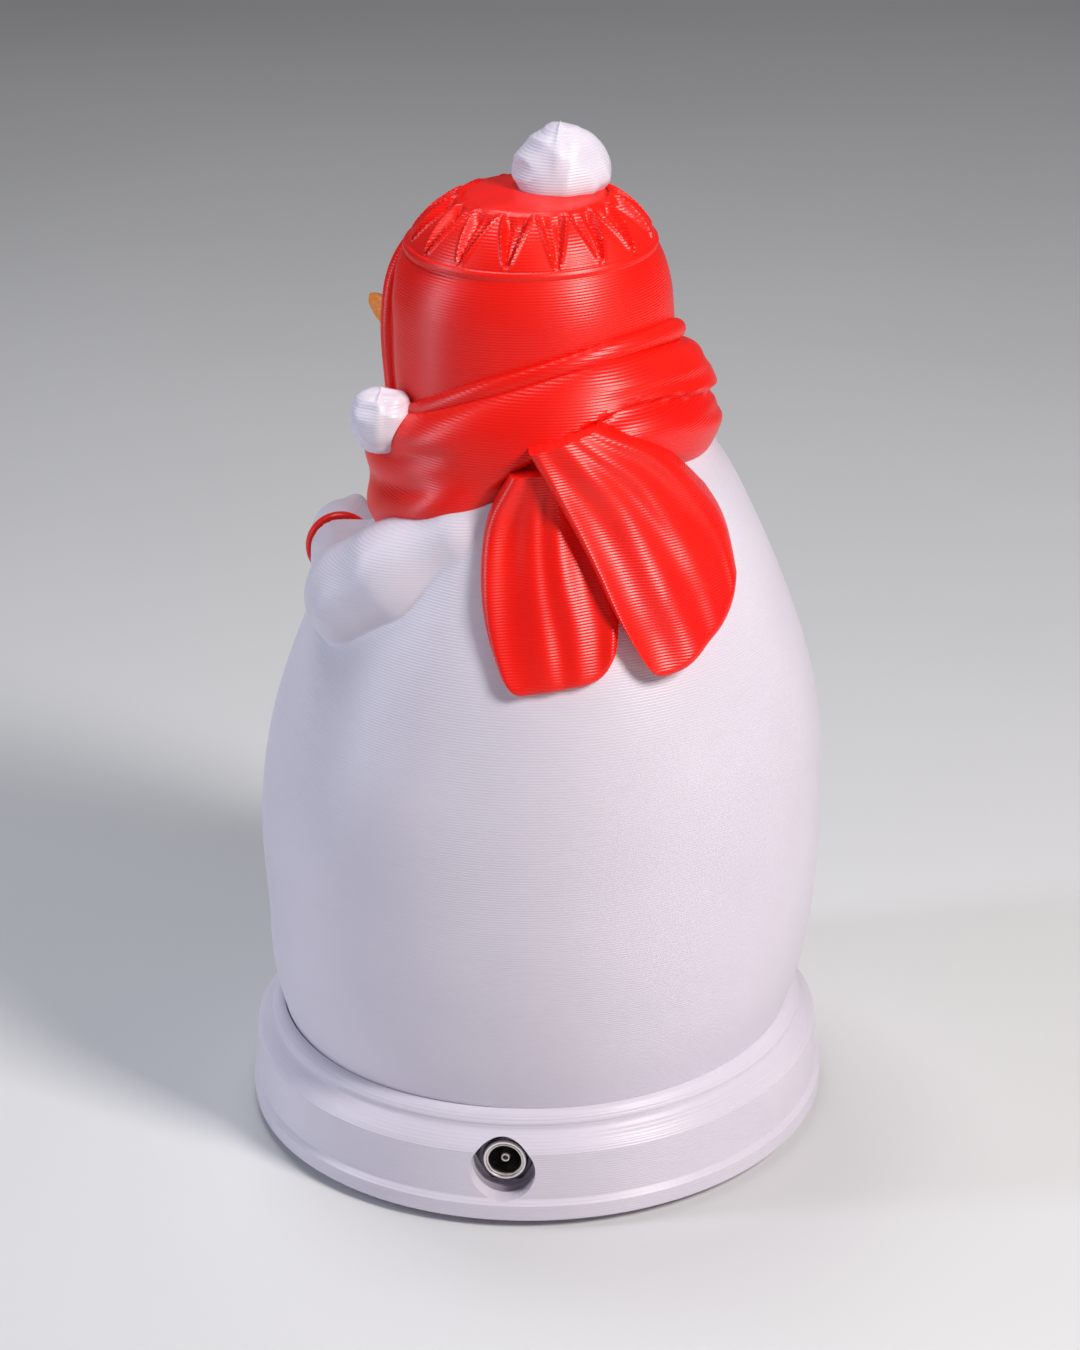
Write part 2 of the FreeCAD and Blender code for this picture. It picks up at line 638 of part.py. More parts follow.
# ---- build --------------------------------------------------------------------------------
def main():
    os.makedirs(PARTS_DIR, exist_ok=True)
    nodes = {}

    nodes["base_housing"] = base_housing()
    nodes["bottom_cover"] = bottom_cover()
    nodes["cover_screws"] = screws(COVER_SCREWS, FEET_H + 0.1, 12.0, 2.8, 1.2)
    nodes["rubber_feet"] = rubber_feet()
    nodes["dc_jack_barrel"] = dc_jack_barrel()
    nodes["dc_jack_insulator"] = dc_jack_insulator()
    nodes["dc_jack_pin"] = dc_jack_pin()
    nodes["dc_jack_nut"] = dc_jack_nut()
    nodes["dc_jack_tabs"] = dc_jack_tabs()
    nodes["lead_positive"] = lead(TAB_OFFSETS[0])
    nodes["lead_negative"] = lead(TAB_OFFSETS[1])
    nodes["led_column"] = led_column()
    nodes["led_strip"] = led_strip()
    nodes["led_chips"] = led_chips()
    nodes["column_screws"] = screws(COLUMN_SCREWS, DECK_LOW_Z - 1.15, DECK_Z + 1.8, 2.6, 1.3)

    nodes["turning_ring"] = turning_ring()

    outer = body_solid()
    inner = body_solid(-SHELL_T)
    inner.translate(Vector(0, 0, -SHELL_T))
    body = body_shell(outer, inner)
    nodes["body_shell"] = body
    cuff = cuff_band(outer)
    hand = mitten(outer)
    nodes["cuff_band_left"] = cuff
    nodes["cuff_band_right"] = mirrored(cuff)
    nodes["mitten_left"] = hand
    nodes["mitten_right"] = mirrored(hand)
    nodes["coat_buttons"] = coat_buttons(outer)
    nodes["neck_dowel"] = neck_dowel()
    nodes["head_shell"] = head_shell()
    nodes["eyes"] = eyes()
    nodes["mouth_coals"] = mouth_coals()
    nodes["carrot_nose"] = carrot_nose()

    brim = hat_brim_roll()
    hat = hat_shell(brim)
    disc = crown_disc()
    pompom = ear_pompom(brim, hat)
    pompoms = [pompom, mirrored(pompom)]
    nodes["hat_shell"] = hat
    nodes["hat_brim_roll"] = brim
    nodes["hat_crown_gathers"] = crown_gathers()
    nodes["hat_crown_disc"] = disc
    nodes["top_pompom"] = top_pompom(disc)
    nodes["ear_pompom_left"] = pompoms[0]
    nodes["ear_pompom_right"] = pompoms[1]

    wrap = scarf_wrap(outer, [brim] + pompoms)
    wrap = largest(wrap.cut(body))
    low = scarf_tail(TAIL_LOW, TAIL_LOW_T, [body_solid(GLUE), body, wrap, hat, brim])
    up = scarf_tail(TAIL_UP, TAIL_UP_T, [body_solid(GLUE), body, wrap, hat, brim, low])
    nodes["scarf_wrap"] = wrap
    nodes["scarf_tail_lower"] = low
    nodes["scarf_tail_upper"] = up

    for name, shape in nodes.items():
        box = shape.BoundBox
        print(f"{name:20s} solids {len(shape.Solids)} valid {shape.isValid()} vol {shape.Volume:9.1f} "
              f"x {box.XMin:.1f} {box.XMax:.1f} y {box.YMin:.1f} {box.YMax:.1f} z {box.ZMin:.1f} {box.ZMax:.1f}")
        shape.exportStep(f"{PARTS_DIR}/{name}.step")


main()
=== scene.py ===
import json
import math

import bmesh
import bpy
import numpy as np
from mathutils import Matrix, Vector


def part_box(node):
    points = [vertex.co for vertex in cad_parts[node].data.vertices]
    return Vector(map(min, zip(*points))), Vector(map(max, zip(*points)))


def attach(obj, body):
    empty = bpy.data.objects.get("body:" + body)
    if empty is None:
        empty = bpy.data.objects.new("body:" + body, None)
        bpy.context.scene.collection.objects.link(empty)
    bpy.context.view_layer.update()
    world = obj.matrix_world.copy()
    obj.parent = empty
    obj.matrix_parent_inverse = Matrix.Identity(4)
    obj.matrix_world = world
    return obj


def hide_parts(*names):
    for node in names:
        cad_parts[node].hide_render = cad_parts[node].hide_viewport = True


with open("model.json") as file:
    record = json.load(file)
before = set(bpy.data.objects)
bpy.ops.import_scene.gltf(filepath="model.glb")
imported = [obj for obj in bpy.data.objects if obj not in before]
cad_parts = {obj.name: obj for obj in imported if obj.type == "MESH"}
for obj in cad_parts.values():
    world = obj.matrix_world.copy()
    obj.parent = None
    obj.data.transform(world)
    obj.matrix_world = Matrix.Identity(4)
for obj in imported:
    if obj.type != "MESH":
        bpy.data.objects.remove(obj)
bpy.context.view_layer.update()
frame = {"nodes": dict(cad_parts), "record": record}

MM = 0.001

# ---- places read from the frame ------------------------------------------------------------


def low(node):
    return np.array(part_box(node)[0]) / MM


def high(node):
    return np.array(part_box(node)[1]) / MM


def middle(node):
    return (low(node) + high(node)) / 2


def half(node):
    return (high(node) - low(node)) / 2


RIM_Z = low("body_shell")[2]
BODY_TOP_Z = high("body_shell")[2]
DISC_LOW_Z = low("hat_crown_disc")[2]
DISC_R = half("hat_crown_disc")[0]
DISC_BACK = middle("hat_crown_disc")[1]
RIDGE_Z = high("hat_shell")[2]
HEAD_R = half("head_shell")[0]
HEAD_BACK = middle("head_shell")[1]

# ---- shapes of the figure, in millimetres --------------------------------------------------

# height, radius and backward offset of the round body
BODY_SECTIONS = np.array([
    (RIM_Z, 47.9, 0.0), (30.4, 50.5, 0.9), (41.8, 51.6, 2.1), (61.7, 52.4, 2.6),
    (81.6, 50.4, 4.4), (94.9, 46.7, 5.5), (106.3, 42.4, 6.4), (117.7, 37.6, 6.9),
    (129.1, 32.4, 6.3), (BODY_TOP_Z, 28.1, 5.3),
])
# the same for the surface that the scarf's ends lie on, which runs up over the scarf
DRAPE_SECTIONS = np.array([
    (61.7, 52.4, 2.6), (81.6, 50.4, 4.4), (94.9, 46.7, 5.5), (106.3, 42.4, 6.4),
    (117.7, 37.6, 6.9), (129.1, 32.4, 6.3), (140.4, 31.3, 5.0), (151.8, 29.4, 4.2),
])
SHELL_T = 1.8
CHEST_HOLLOW = 5.0
HEAD_C = np.array([0.0, HEAD_BACK, 149.9])

SHOULDER = np.array([27.9, 13.0, 124.8])
UPPER_ARM = np.array([33.4, 2.2, 116.7])
ELBOW = np.array([35.3, -6.3, 110.7])
WRIST = np.array([19.7, -28.8, 109.3])
HAND = np.array([13.1, -34.9, 108.5])
FINGERS = np.array([8.0, -39.0, 105.6])
SHOULDER_R = 7.0
UPPER_ARM_R = 8.4
ELBOW_R = 8.6
WRIST_R = 5.6
PALM_R = 6.0
FINGERS_R = 5.0
CUFF_W = 2.5

HAT_SECTIONS = np.array([
    (128.0, 24.6, 2.3), (142.3, 25.4, 2.3), (149.9, 25.8, 2.3), (156.6, 25.7, 2.3),
    (163.2, 25.0, 2.4), (167.9, 23.3, 2.8), (RIDGE_Z, 21.1, 3.4),
])
HAT_WALL = 2.2
BRIM_Z = 145.4
BRIM_TILT = math.radians(24.4)
BRIM_ROLL_R = 1.9
HEM_ROLL_R = 1.9
FACE_HALF_W = 17.5
FACE_SPRING_Z = 153.5
HEM_DRAW = 1.5                # how far the wall is drawn in beside the hem of the face
PLEATS = 16
PLEAT_DEPTH = 1.5

SCARF_C = np.array([0.0, 4.5, 137.3])
SCARF_TILT = math.radians(14.9)
SCARF_R = 25.6
SCARF_HALF_W = 6.4
TAIL_HEADING = math.radians(46.0)

# ---- numeric helpers -----------------------------------------------------------------------


def curve_through(knots, values, at):
    """Smooth curve through a few points: cubic pieces with the slope of the neighbours."""
    knots = np.asarray(knots, float)
    values = np.asarray(values, float)
    slopes = np.gradient(values, knots)
    at = np.clip(at, knots[0], knots[-1])
    i = np.clip(np.searchsorted(knots, at, side="right") - 1, 0, len(knots) - 2)
    step = knots[i + 1] - knots[i]
    t = (at - knots[i]) / step
    start = (1 + 2 * t) * (1 - t) ** 2 * values[i] + t * (1 - t) ** 2 * step * slopes[i]
    end = t * t * (3 - 2 * t) * values[i + 1] + t * t * (t - 1) * step * slopes[i + 1]
    return start + end


def bend_through(points, at):
    """Smooth curve through given points, by distance from 0 at the first to 1 at the last."""
    points = np.asarray(points, float)
    steps = np.linalg.norm(np.diff(points, axis=0), axis=1)
    knots = np.concatenate([[0], np.cumsum(steps)]) / steps.sum()
    return np.stack([curve_through(knots, points[:, k], at) for k in range(points.shape[1])], axis=-1)


def smoothstep(x, start, end):
    t = np.clip((x - start) / (end - start), 0, 1)
    return t * t * (3 - 2 * t)


def lumps(points, size, seed, waves=16):
    """Smooth random heights of about -1 to 1 with bumps of one size, from seeded plane waves."""
    random = np.random.default_rng(seed)
    directions = random.normal(size=(waves, 3))
    directions /= np.linalg.norm(directions, axis=1)[:, None]
    phases = random.uniform(0, 2 * math.pi, waves)
    turns = points @ directions.T * (2 * math.pi / size) + phases
    return np.sin(turns).sum(axis=-1) / math.sqrt(waves)


def round_bar(points, start, start_r, end, end_r):
    """Distance to a tapered bar with ball ends."""
    axis = end - start
    t = np.clip((points - start) @ axis / (axis @ axis), 0, 1)
    nearest = start + t[..., None] * axis
    return np.linalg.norm(points - nearest, axis=-1) - (start_r + t * (end_r - start_r))


def melt(a, b, width):
    """Smooth union of two distances, with a fillet of about the given width."""
    h = np.clip(0.5 + 0.5 * (b - a) / width, 0, 1)
    return b * (1 - h) + a * h - width * h * (1 - h)


def outermost(distance, starts, directions, reach, steps=90):
    """The furthest point along each ray that is still inside the shape."""
    at = np.linspace(reach, 0, steps)
    found = np.zeros(starts.shape[:-1])
    done = np.zeros(starts.shape[:-1], bool)
    for k in at:
        inside = (distance(starts + directions * k) < 0) & ~done
        found[inside] = k
        done |= inside
        if done.all():
            break
    near = found
    far = found + reach / (steps - 1)
    for _ in range(20):
        mid = (near + far) / 2
        inside = distance(starts + directions * mid[..., None]) < 0
        near = np.where(inside, mid, near)
        far = np.where(inside, far, mid)
    return near


# ---- mesh helpers --------------------------------------------------------------------------


def grid_faces(rows, columns, wrap_rows=False, wrap_columns=False, first=0):
    """Quads of a grid of points numbered row by row."""
    r = np.arange(rows if wrap_rows else rows - 1)
    c = np.arange(columns if wrap_columns else columns - 1)
    r, c = (a.ravel() for a in np.meshgrid(r, c, indexing="ij"))
    r2 = (r + 1) % rows
    c2 = (c + 1) % columns
    quads = np.stack([r * columns + c, r * columns + c2, r2 * columns + c2, r2 * columns + c], axis=1)
    return (quads + first).tolist()


def make_piece(name, points, faces, body, material, replaced=(), sharp=None):
    """A mesh piece from points in millimetres, riding on a body."""
    mesh = bpy.data.meshes.new(name)
    mesh.from_pydata((np.asarray(points, float).reshape(-1, 3) * MM).tolist(), [], faces)
    mesh.validate()
    mesh.shade_smooth()
    if sharp is not None:
        mesh.set_sharp_from_angle(angle=math.radians(sharp))
    mesh.materials.append(material)
    piece = bpy.data.objects.new(name, mesh)
    bpy.context.scene.collection.objects.link(piece)
    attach(piece, body)
    if replaced:
        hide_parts(*replaced)
    return piece


def outwards(piece):
    """Turn all faces to the outside."""
    mesh = bmesh.new()
    mesh.from_mesh(piece.data)
    bmesh.ops.recalc_face_normals(mesh, faces=mesh.faces)
    mesh.to_mesh(piece.data)
    mesh.free()
    return piece


def ball_grid(rows, columns):
    """Directions over a ball: a pole, rings of latitude, and the other pole."""
    lat = np.linspace(-math.pi / 2, math.pi / 2, rows + 2)[1:-1]
    lon = np.linspace(0, 2 * math.pi, columns, endpoint=False)
    lat, lon = np.meshgrid(lat, lon, indexing="ij")
    rings = np.stack([np.cos(lat) * np.cos(lon), np.cos(lat) * np.sin(lon), np.sin(lat)], axis=-1)
    directions = np.concatenate([[[0, 0, -1]], rings.reshape(-1, 3), [[0, 0, 1]]])
    faces = grid_faces(rows, columns, wrap_columns=True, first=1)
    last = rows * columns + 1
    for c in range(columns):
        faces.append([0, 1 + (c + 1) % columns, 1 + c])
        faces.append([last, last - columns + c, last - columns + (c + 1) % columns])
    return directions, faces


def closed_slab(top, under):
    """Two grids of the same size, joined round their edges into a closed piece."""
    rows, columns = top.shape[:2]
    count = rows * columns
    points = np.concatenate([top.reshape(-1, 3), under.reshape(-1, 3)])
    faces = grid_faces(rows, columns)
    faces += [[i + count for i in f[::-1]] for f in faces]
    edge = [(0, c) for c in range(columns)] + [(r, columns - 1) for r in range(1, rows)]
    edge += [(rows - 1, c) for c in range(columns - 2, -1, -1)] + [(r, 0) for r in range(rows - 2, 0, -1)]
    loop = [r * columns + c for r, c in edge]
    for a, b in zip(loop, loop[1:] + loop[:1]):
        faces.append([a, a + count, b + count, b])
    return points, faces


def star(distance, centre, reach, rows=48, columns=72):
    """Skin of a shape that every ray from its centre leaves once."""
    directions, faces = ball_grid(rows, columns)
    starts = np.broadcast_to(centre, directions.shape)
    k = outermost(distance, starts, directions, reach)
    return centre + directions * k[:, None], faces


def swept_tube(path, radii, outward, rows=16):
    """Closed tube along a closed path; outward says which way the section's first axis points."""
    ahead = np.roll(path, -1, axis=0) - np.roll(path, 1, axis=0)
    ahead /= np.linalg.norm(ahead, axis=1)[:, None]
    side = outward - (outward * ahead).sum(axis=1)[:, None] * ahead
    side /= np.linalg.norm(side, axis=1)[:, None]
    up = np.cross(ahead, side)
    turn = np.linspace(0, 2 * math.pi, rows, endpoint=False)
    out = np.cos(turn)[None, :, None] * side[:, None, :]
    across = np.sin(turn)[None, :, None] * up[:, None, :]
    return path[:, None, :] + radii[:, None, None] * (out + across)


# ---- materials -----------------------------------------------------------------------------


class Nodes:
    """Short way to add and join shader nodes."""

    def __init__(self, name):
        self.material = bpy.data.materials.new(name)
        self.material.use_nodes = True
        self.tree = self.material.node_tree
        self.shader = self.tree.nodes["Principled BSDF"]
        self.place = self.add("ShaderNodeTexCoord").outputs["Object"]

    def add(self, kind, **values):
        node = self.tree.nodes.new(kind)
        for key, value in values.items():
            setattr(node, key, value)
        return node

    def join(self, source, target):
        self.tree.links.new(source, target)

    def maths(self, operation, a, b=None):
        node = self.add("ShaderNodeMath", operation=operation)
        for socket, value in zip(node.inputs, (a, b)):
            if value is None:
                continue
            if isinstance(value, (int, float)):
                socket.default_value = value
            else:
                self.join(value, socket)
        return node.outputs[0]

    def noise(self, scale, stretch=(1, 1, 1), detail=3.0, roughness=0.5):
        mapping = self.add("ShaderNodeMapping")
        mapping.inputs["Scale"].default_value = stretch
        self.join(self.place, mapping.inputs["Vector"])
        node = self.add("ShaderNodeTexNoise")
        node.inputs["Scale"].default_value = scale
        node.inputs["Detail"].default_value = detail
        node.inputs["Roughness"].default_value = roughness
        self.join(mapping.outputs[0], node.inputs["Vector"])
        return node.outputs["Fac"]

    def ramp(self, factor, *stops):
        node = self.add("ShaderNodeValToRGB")
        elements = node.color_ramp.elements
        while len(elements) < len(stops):
            elements.new(0.5)
        for element, (position, colour) in zip(elements, stops):
            element.position = position
            element.color = (*colour, 1)
        self.join(factor, node.inputs[0])
        return node.outputs[0]

    def range(self, factor, low_in, high_in, low_out, high_out):
        node = self.add("ShaderNodeMapRange")
        for socket, value in zip(node.inputs[1:5], (low_in, high_in, low_out, high_out)):
            socket.default_value = value
        self.join(factor, node.inputs[0])
        return node.outputs[0]

    def bump(self, height, distance, strength=1.0, below=None):
        node = self.add("ShaderNodeBump")
        node.inputs["Strength"].default_value = strength
        node.inputs["Distance"].default_value = distance
        self.join(height, node.inputs["Height"])
        if below is not None:
            self.join(below, node.inputs["Normal"])
        return node.outputs["Normal"]

    def set(self, **values):
        for key, value in values.items():
            self.shader.inputs[key.replace("_", " ")].default_value = value


LAYER = 0.48 * MM             # height of a visible line, about two printed layers


def print_material(name, colours, roughness, depth, **shader):
    """Extruded plastic in fine level layers, with uneven streaks and a slightly blotchy colour."""
    n = Nodes(name)
    split = n.add("ShaderNodeSeparateXYZ")
    n.join(n.place, split.inputs[0])
    wander = n.maths("MULTIPLY", n.noise(60, detail=1.0), 1.4)
    turns = n.maths("ADD", n.maths("MULTIPLY", split.outputs[2], 2 * math.pi / LAYER), wander)
    layers = n.maths("SINE", turns)
    streaks = n.noise(1.0, (30, 30, 1500), detail=1.0)
    blotch = n.noise(45, detail=1.0)
    n.join(n.bump(layers, depth), n.shader.inputs["Normal"])
    mixed = n.maths("ADD", n.maths("MULTIPLY", blotch, 0.92), n.maths("MULTIPLY", streaks, 0.08))
    tints = n.ramp(mixed, (0.1, colours[0]), (0.5, colours[1]), (0.9, colours[2]))
    n.join(tints, n.shader.inputs["Base Color"])
    n.join(n.range(mixed, 0.1, 0.9, roughness[0], roughness[1]), n.shader.inputs["Roughness"])
    n.set(**shader)
    return n.material


def plain_material(name, colour, roughness, metallic=0.0, grain=900.0, depth=0.01 * MM, spread=0.12,
                   **shader):
    """Moulded or metal surface with fine grain in colour, gloss and height."""
    n = Nodes(name)
    grainy = n.noise(grain, detail=4.0)
    dark = tuple(c * (1 - spread) for c in colour)
    light = tuple(min(1.0, c * (1 + spread)) for c in colour)
    n.join(n.ramp(grainy, (0.35, dark), (0.65, light)), n.shader.inputs["Base Color"])
    n.join(n.range(grainy, 0.3, 0.7, roughness * 0.8, roughness * 1.25), n.shader.inputs["Roughness"])
    n.join(n.bump(grainy, depth), n.shader.inputs["Normal"])
    n.set(Metallic=metallic, **shader)
    return n.material


def turned_metal(name, colour, roughness):
    """Metal with fine grain and a little uneven gloss."""
    return plain_material(name, colour, roughness, metallic=1.0, grain=1500.0, depth=0.004 * MM, spread=0.06)


WHITE = print_material(
    "white_print", [(0.70, 0.65, 0.75), (0.74, 0.69, 0.79), (0.78, 0.72, 0.82)], (0.30, 0.42), 0.016 * MM,
    Subsurface_Weight=0.12, Subsurface_Radius=(1.0, 0.9, 0.95), Subsurface_Scale=0.002, IOR=1.46)
RED = print_material(
    "red_print", [(0.84, 0.002, 0.002), (0.90, 0.008, 0.003), (0.95, 0.018, 0.005)], (0.30, 0.40), 0.018 * MM,
    Subsurface_Weight=0.05, Subsurface_Radius=(1.0, 0.25, 0.2), Subsurface_Scale=0.0015, IOR=1.48)
ORANGE = print_material(
    "orange_print", [(0.78, 0.17, 0.015), (0.88, 0.24, 0.02), (0.93, 0.31, 0.035)], (0.32, 0.50), 0.018 * MM,
    Subsurface_Weight=0.10, Subsurface_Scale=0.002)
COAL = print_material(
    "coal_print", [(0.008, 0.008, 0.010), (0.014, 0.014, 0.017), (0.026, 0.026, 0.03)], (0.35, 0.60),
    0.02 * MM)
NICKEL = turned_metal("nickel", (0.86, 0.83, 0.79), 0.22)
DARK_NUT = turned_metal("dark_nut", (0.09, 0.08, 0.10), 0.22)
MOULDING = plain_material("black_moulding", (0.012, 0.012, 0.013), 0.45)
CONTACT = turned_metal("contact_pin", (0.78, 0.66, 0.42), 0.20)
STEEL = turned_metal("screw_steel", (0.60, 0.60, 0.62), 0.28)
RUBBER = plain_material("foot_rubber", (0.03, 0.03, 0.033), 0.75, grain=700.0)
WIRE_RED = plain_material("wire_red", (0.55, 0.02, 0.015), 0.4)
WIRE_BLACK = plain_material("wire_black", (0.015, 0.015, 0.016), 0.4)
BOARD = plain_material("strip_board", (0.80, 0.80, 0.74), 0.35)
PHOSPHOR = plain_material("led_package", (0.85, 0.72, 0.20), 0.3)

SLOT_MATERIALS = {
    "white_print": WHITE, "red_print": RED, "orange_print": ORANGE, "coal_print": COAL, "nickel": NICKEL,
    "dark_nut": DARK_NUT, "black_moulding": MOULDING, "contact_pin": CONTACT, "screw_steel": STEEL,
    "foot_rubber": RUBBER, "wire_red": WIRE_RED, "wire_black": WIRE_BLACK, "strip_board": BOARD,
    "led_package": PHOSPHOR,
}


def dress_frame():
    """Every CAD node that stays gets its slot's detailed material."""
    for part in frame["record"]["subparts"]:
        node = frame["nodes"][part["node"]]
        node.data.materials.clear()
        node.data.materials.append(SLOT_MATERIALS[part["material_slot"]])


dress_frame()

# ---- body and sleeves ----------------------------------------------------------------------


def section_at(sections, z):
    """Radius and backward offset of a stack of round sections at a height."""
    return curve_through(sections[:, 0], sections[:, 1], z), curve_through(sections[:, 0], sections[:, 2], z)


def egg_distance(points):
    """Round body, a little flatter in front where the mittens rest."""
    radius, back = section_at(BODY_SECTIONS, points[..., 2])
    from_axis = np.hypot(points[..., 0], points[..., 1] - back)
    forward = (back - points[..., 1]) / np.maximum(from_axis, 0.1)
    chest = CHEST_HOLLOW * smoothstep(forward, -0.35, 0.5) * smoothstep(points[..., 2], 104.0, 120.0)
    return from_axis - radius + chest


WRIST_WAY = (WRIST - ELBOW) / np.linalg.norm(WRIST - ELBOW)


def arm_distance(points):
    """Both sleeves, cut square at the wrists."""
    near = points.copy()
    near[..., 0] = np.abs(near[..., 0])
    shoulder = round_bar(near, SHOULDER, SHOULDER_R, UPPER_ARM, UPPER_ARM_R)
    upper = round_bar(near, UPPER_ARM, UPPER_ARM_R, ELBOW, ELBOW_R)
    fore = round_bar(near, ELBOW, ELBOW_R, WRIST, WRIST_R)
    arm = melt(melt(shoulder, upper, 6.0), fore, 5.0)
    return np.maximum(arm, (near - WRIST) @ WRIST_WAY)


def body_distance(points):
    """Egg and sleeves: a wide fillet over the sleeves and a crisp crease under them."""
    egg = egg_distance(points)
    arm = arm_distance(points)
    bends = np.array([WRIST, ELBOW, UPPER_ARM, SHOULDER])
    line_z = np.interp(points[..., 1], bends[:, 1], bends[:, 2])
    width = 0.5 + 2.4 * smoothstep(points[..., 2] - line_z, 0.0, 9.0)
    return melt(egg, arm, width)


def make_body():
    columns = 448
    levels = np.concatenate([np.linspace(RIM_Z, 88.0, 60), np.linspace(88.0, BODY_TOP_Z, 132)[1:]])
    turn = np.linspace(0, 2 * math.pi, columns, endpoint=False)
    z, a = np.meshgrid(levels, turn, indexing="ij")
    radius, back = section_at(BODY_SECTIONS, z)
    starts = np.stack([np.zeros_like(z), back, z], axis=-1)
    ways = np.stack([np.cos(a), np.sin(a), np.zeros_like(a)], axis=-1)
    reach = outermost(body_distance, starts, ways, 62.0, 110)
    outer = starts + ways * reach[..., None]
    outer[..., :2] += ways[..., :2] * (0.10 * lumps(outer, 38.0, 3))[..., None]
    inner = starts + ways * (np.minimum(radius, reach) - SHELL_T)[..., None]
    step = 4
    inner = inner[::step, :]
    rows = len(levels)
    inner[-1, :, 2] = BODY_TOP_Z - SHELL_T
    inner_rows = inner.shape[0]
    points = np.concatenate([outer.reshape(-1, 3), inner.reshape(-1, 3)])
    faces = grid_faces(rows, columns, wrap_columns=True)
    faces += [f[::-1] for f in grid_faces(inner_rows, columns, wrap_columns=True, first=rows * columns)]
    first = rows * columns
    top = (rows - 1) * columns
    inner_top = first + (inner_rows - 1) * columns
    for c in range(columns):
        d = (c + 1) % columns
        faces.append([first + c, first + d, d, c])
        faces.append([top + c, top + d, inner_top + d, inner_top + c])
    return outwards(make_piece("body_skin", points, faces, "figure", WHITE,
                               ["body_shell"], sharp=50))


make_body()

# ---- cuffs and mittens ---------------------------------------------------------------------


def ring_frame(way):
    side = np.cross(way, [0, 0, 1])
    side /= np.linalg.norm(side)
    return side, np.cross(side, way)


def make_cuff(side_name, mirror):
    """Rounded red band round the wrist."""
    side, up = ring_frame(WRIST_WAY)
    turn = np.linspace(0, 2 * math.pi, 96, endpoint=False)
    section = np.linspace(0, 2 * math.pi, 20, endpoint=False)
    a, b = np.meshgrid(turn, section, indexing="ij")
    flat = np.sign(np.cos(b)) * np.abs(np.cos(b)) ** 0.6
    tall = np.sign(np.sin(b)) * np.abs(np.sin(b)) ** 0.6
    radius = WRIST_R - 0.3 + 1.1 * flat
    along = CUFF_W / 2 + (CUFF_W / 2 - 0.05) * tall
    points = (WRIST + along[..., None] * WRIST_WAY
              + (radius * np.cos(a))[..., None] * side + (radius * np.sin(a))[..., None] * up)
    points[..., 0] *= mirror
    faces = grid_faces(96, 20, wrap_rows=True, wrap_columns=True)
    return outwards(make_piece(f"cuff_{side_name}", points, faces, "figure", RED,
                               [f"cuff_band_{side_name}"], sharp=60))


def mitten_distance(points):
    palm = melt(round_bar(points, WRIST, WRIST_R - 0.3, HAND, PALM_R),
                round_bar(points, HAND, PALM_R, FINGERS, FINGERS_R), 2.0)
    thumb = round_bar(points, HAND + np.array([1.0, 1.0, 2.6]), 2.6, HAND + np.array([-3.6, -1.0, 4.2]), 2.2)
    hand = melt(palm, thumb, 1.2)
    start = WRIST + WRIST_WAY * (CUFF_W - 0.2)
    return np.maximum(hand, (start - points) @ WRIST_WAY)


def make_mitten(side_name, mirror):
    centre = HAND + 0.25 * (FINGERS - HAND)
    points, faces = star(mitten_distance, centre, 16.0, 56, 80)
    points = points + 0.12 * lumps(points, 6.0, 21)[:, None] * np.array([0.4, 0.4, 0.8])
    points[:, 0] *= mirror
    return outwards(make_piece(f"mitten_{side_name}_skin", points, faces, "figure", WHITE,
                               [f"mitten_{side_name}"]))


for side_name, mirror in (("left", 1), ("right", -1)):
    make_cuff(side_name, mirror)
    make_mitten(side_name, mirror)

# ---- head and face -------------------------------------------------------------------------


def head_distance(points):
    """Ball with soft cheeks and a shallow brow."""
    near = points.copy()
    near[..., 0] = np.abs(near[..., 0])
    ball = np.linalg.norm(points - HEAD_C, axis=-1) - (HEAD_R - 0.6)
    cheek = np.linalg.norm(near - (HEAD_C + np.array([9.0, -14.2, -5.2])), axis=-1) - 7.2
    brow = np.linalg.norm(near - (HEAD_C + np.array([6.5, -14.0, 8.6])), axis=-1) - 6.6
    return melt(melt(ball, cheek, 5.0), brow, 5.0)


def on_head(across, up, out=0.0):
    """A point on the face and the way out of it, at angles across and up from the front."""
    a, e = math.radians(across), math.radians(up)
    way = np.array([math.sin(a) * math.cos(e), -math.cos(a) * math.cos(e), math.sin(e)])
    k = outermost(head_distance, HEAD_C[None], way[None], HEAD_R + 4)[0]
    return HEAD_C + way * (k + out), way


def make_head():
    points, faces = star(head_distance, HEAD_C, HEAD_R + 3, 64, 96)
    ceiling = high("head_shell")[2]
    points[:, 2] = np.clip(points[:, 2], low("head_shell")[2], ceiling)
    return outwards(make_piece("head_skin", points, faces, "figure", WHITE, ["head_shell"]))


def coal_lumps(name, places, radius, depth, node, seed):
    """Faceted coals pressed into a surface, one at each place."""
    directions, faces = ball_grid(10, 16)
    points = []
    quads = []
    for number, (place, way) in enumerate(places):
        side, up = ring_frame(way) if abs(way[2]) < 0.95 else (np.array([1.0, 0, 0]), np.array([0, 1.0, 0]))
        rough = 1 + 0.10 * lumps(directions * 4 + number * 3.0, 3.4, seed)
        local = directions * rough[:, None]
        lump = (place + local[:, :1] * side * radius + local[:, 1:2] * up * radius
                + local[:, 2:] * way * depth)
        quads += [[i + len(directions) * number for i in face] for face in faces]
        points.append(lump)
    return outwards(make_piece(name, np.concatenate(points), quads, "figure", COAL,
                               [node], sharp=28))


make_head()
coal_lumps("eye_coals", [on_head(s * 19.0, 16.0) for s in (-1, 1)], 2.3, 1.5, "eyes", 31)
coal_lumps("smile_coals", [on_head(s * 9.0, -16.5 + 1.3 * s * s) for s in (-2, -1, 0, 1, 2)], 1.35, 1.0,
           "mouth_coals", 32)


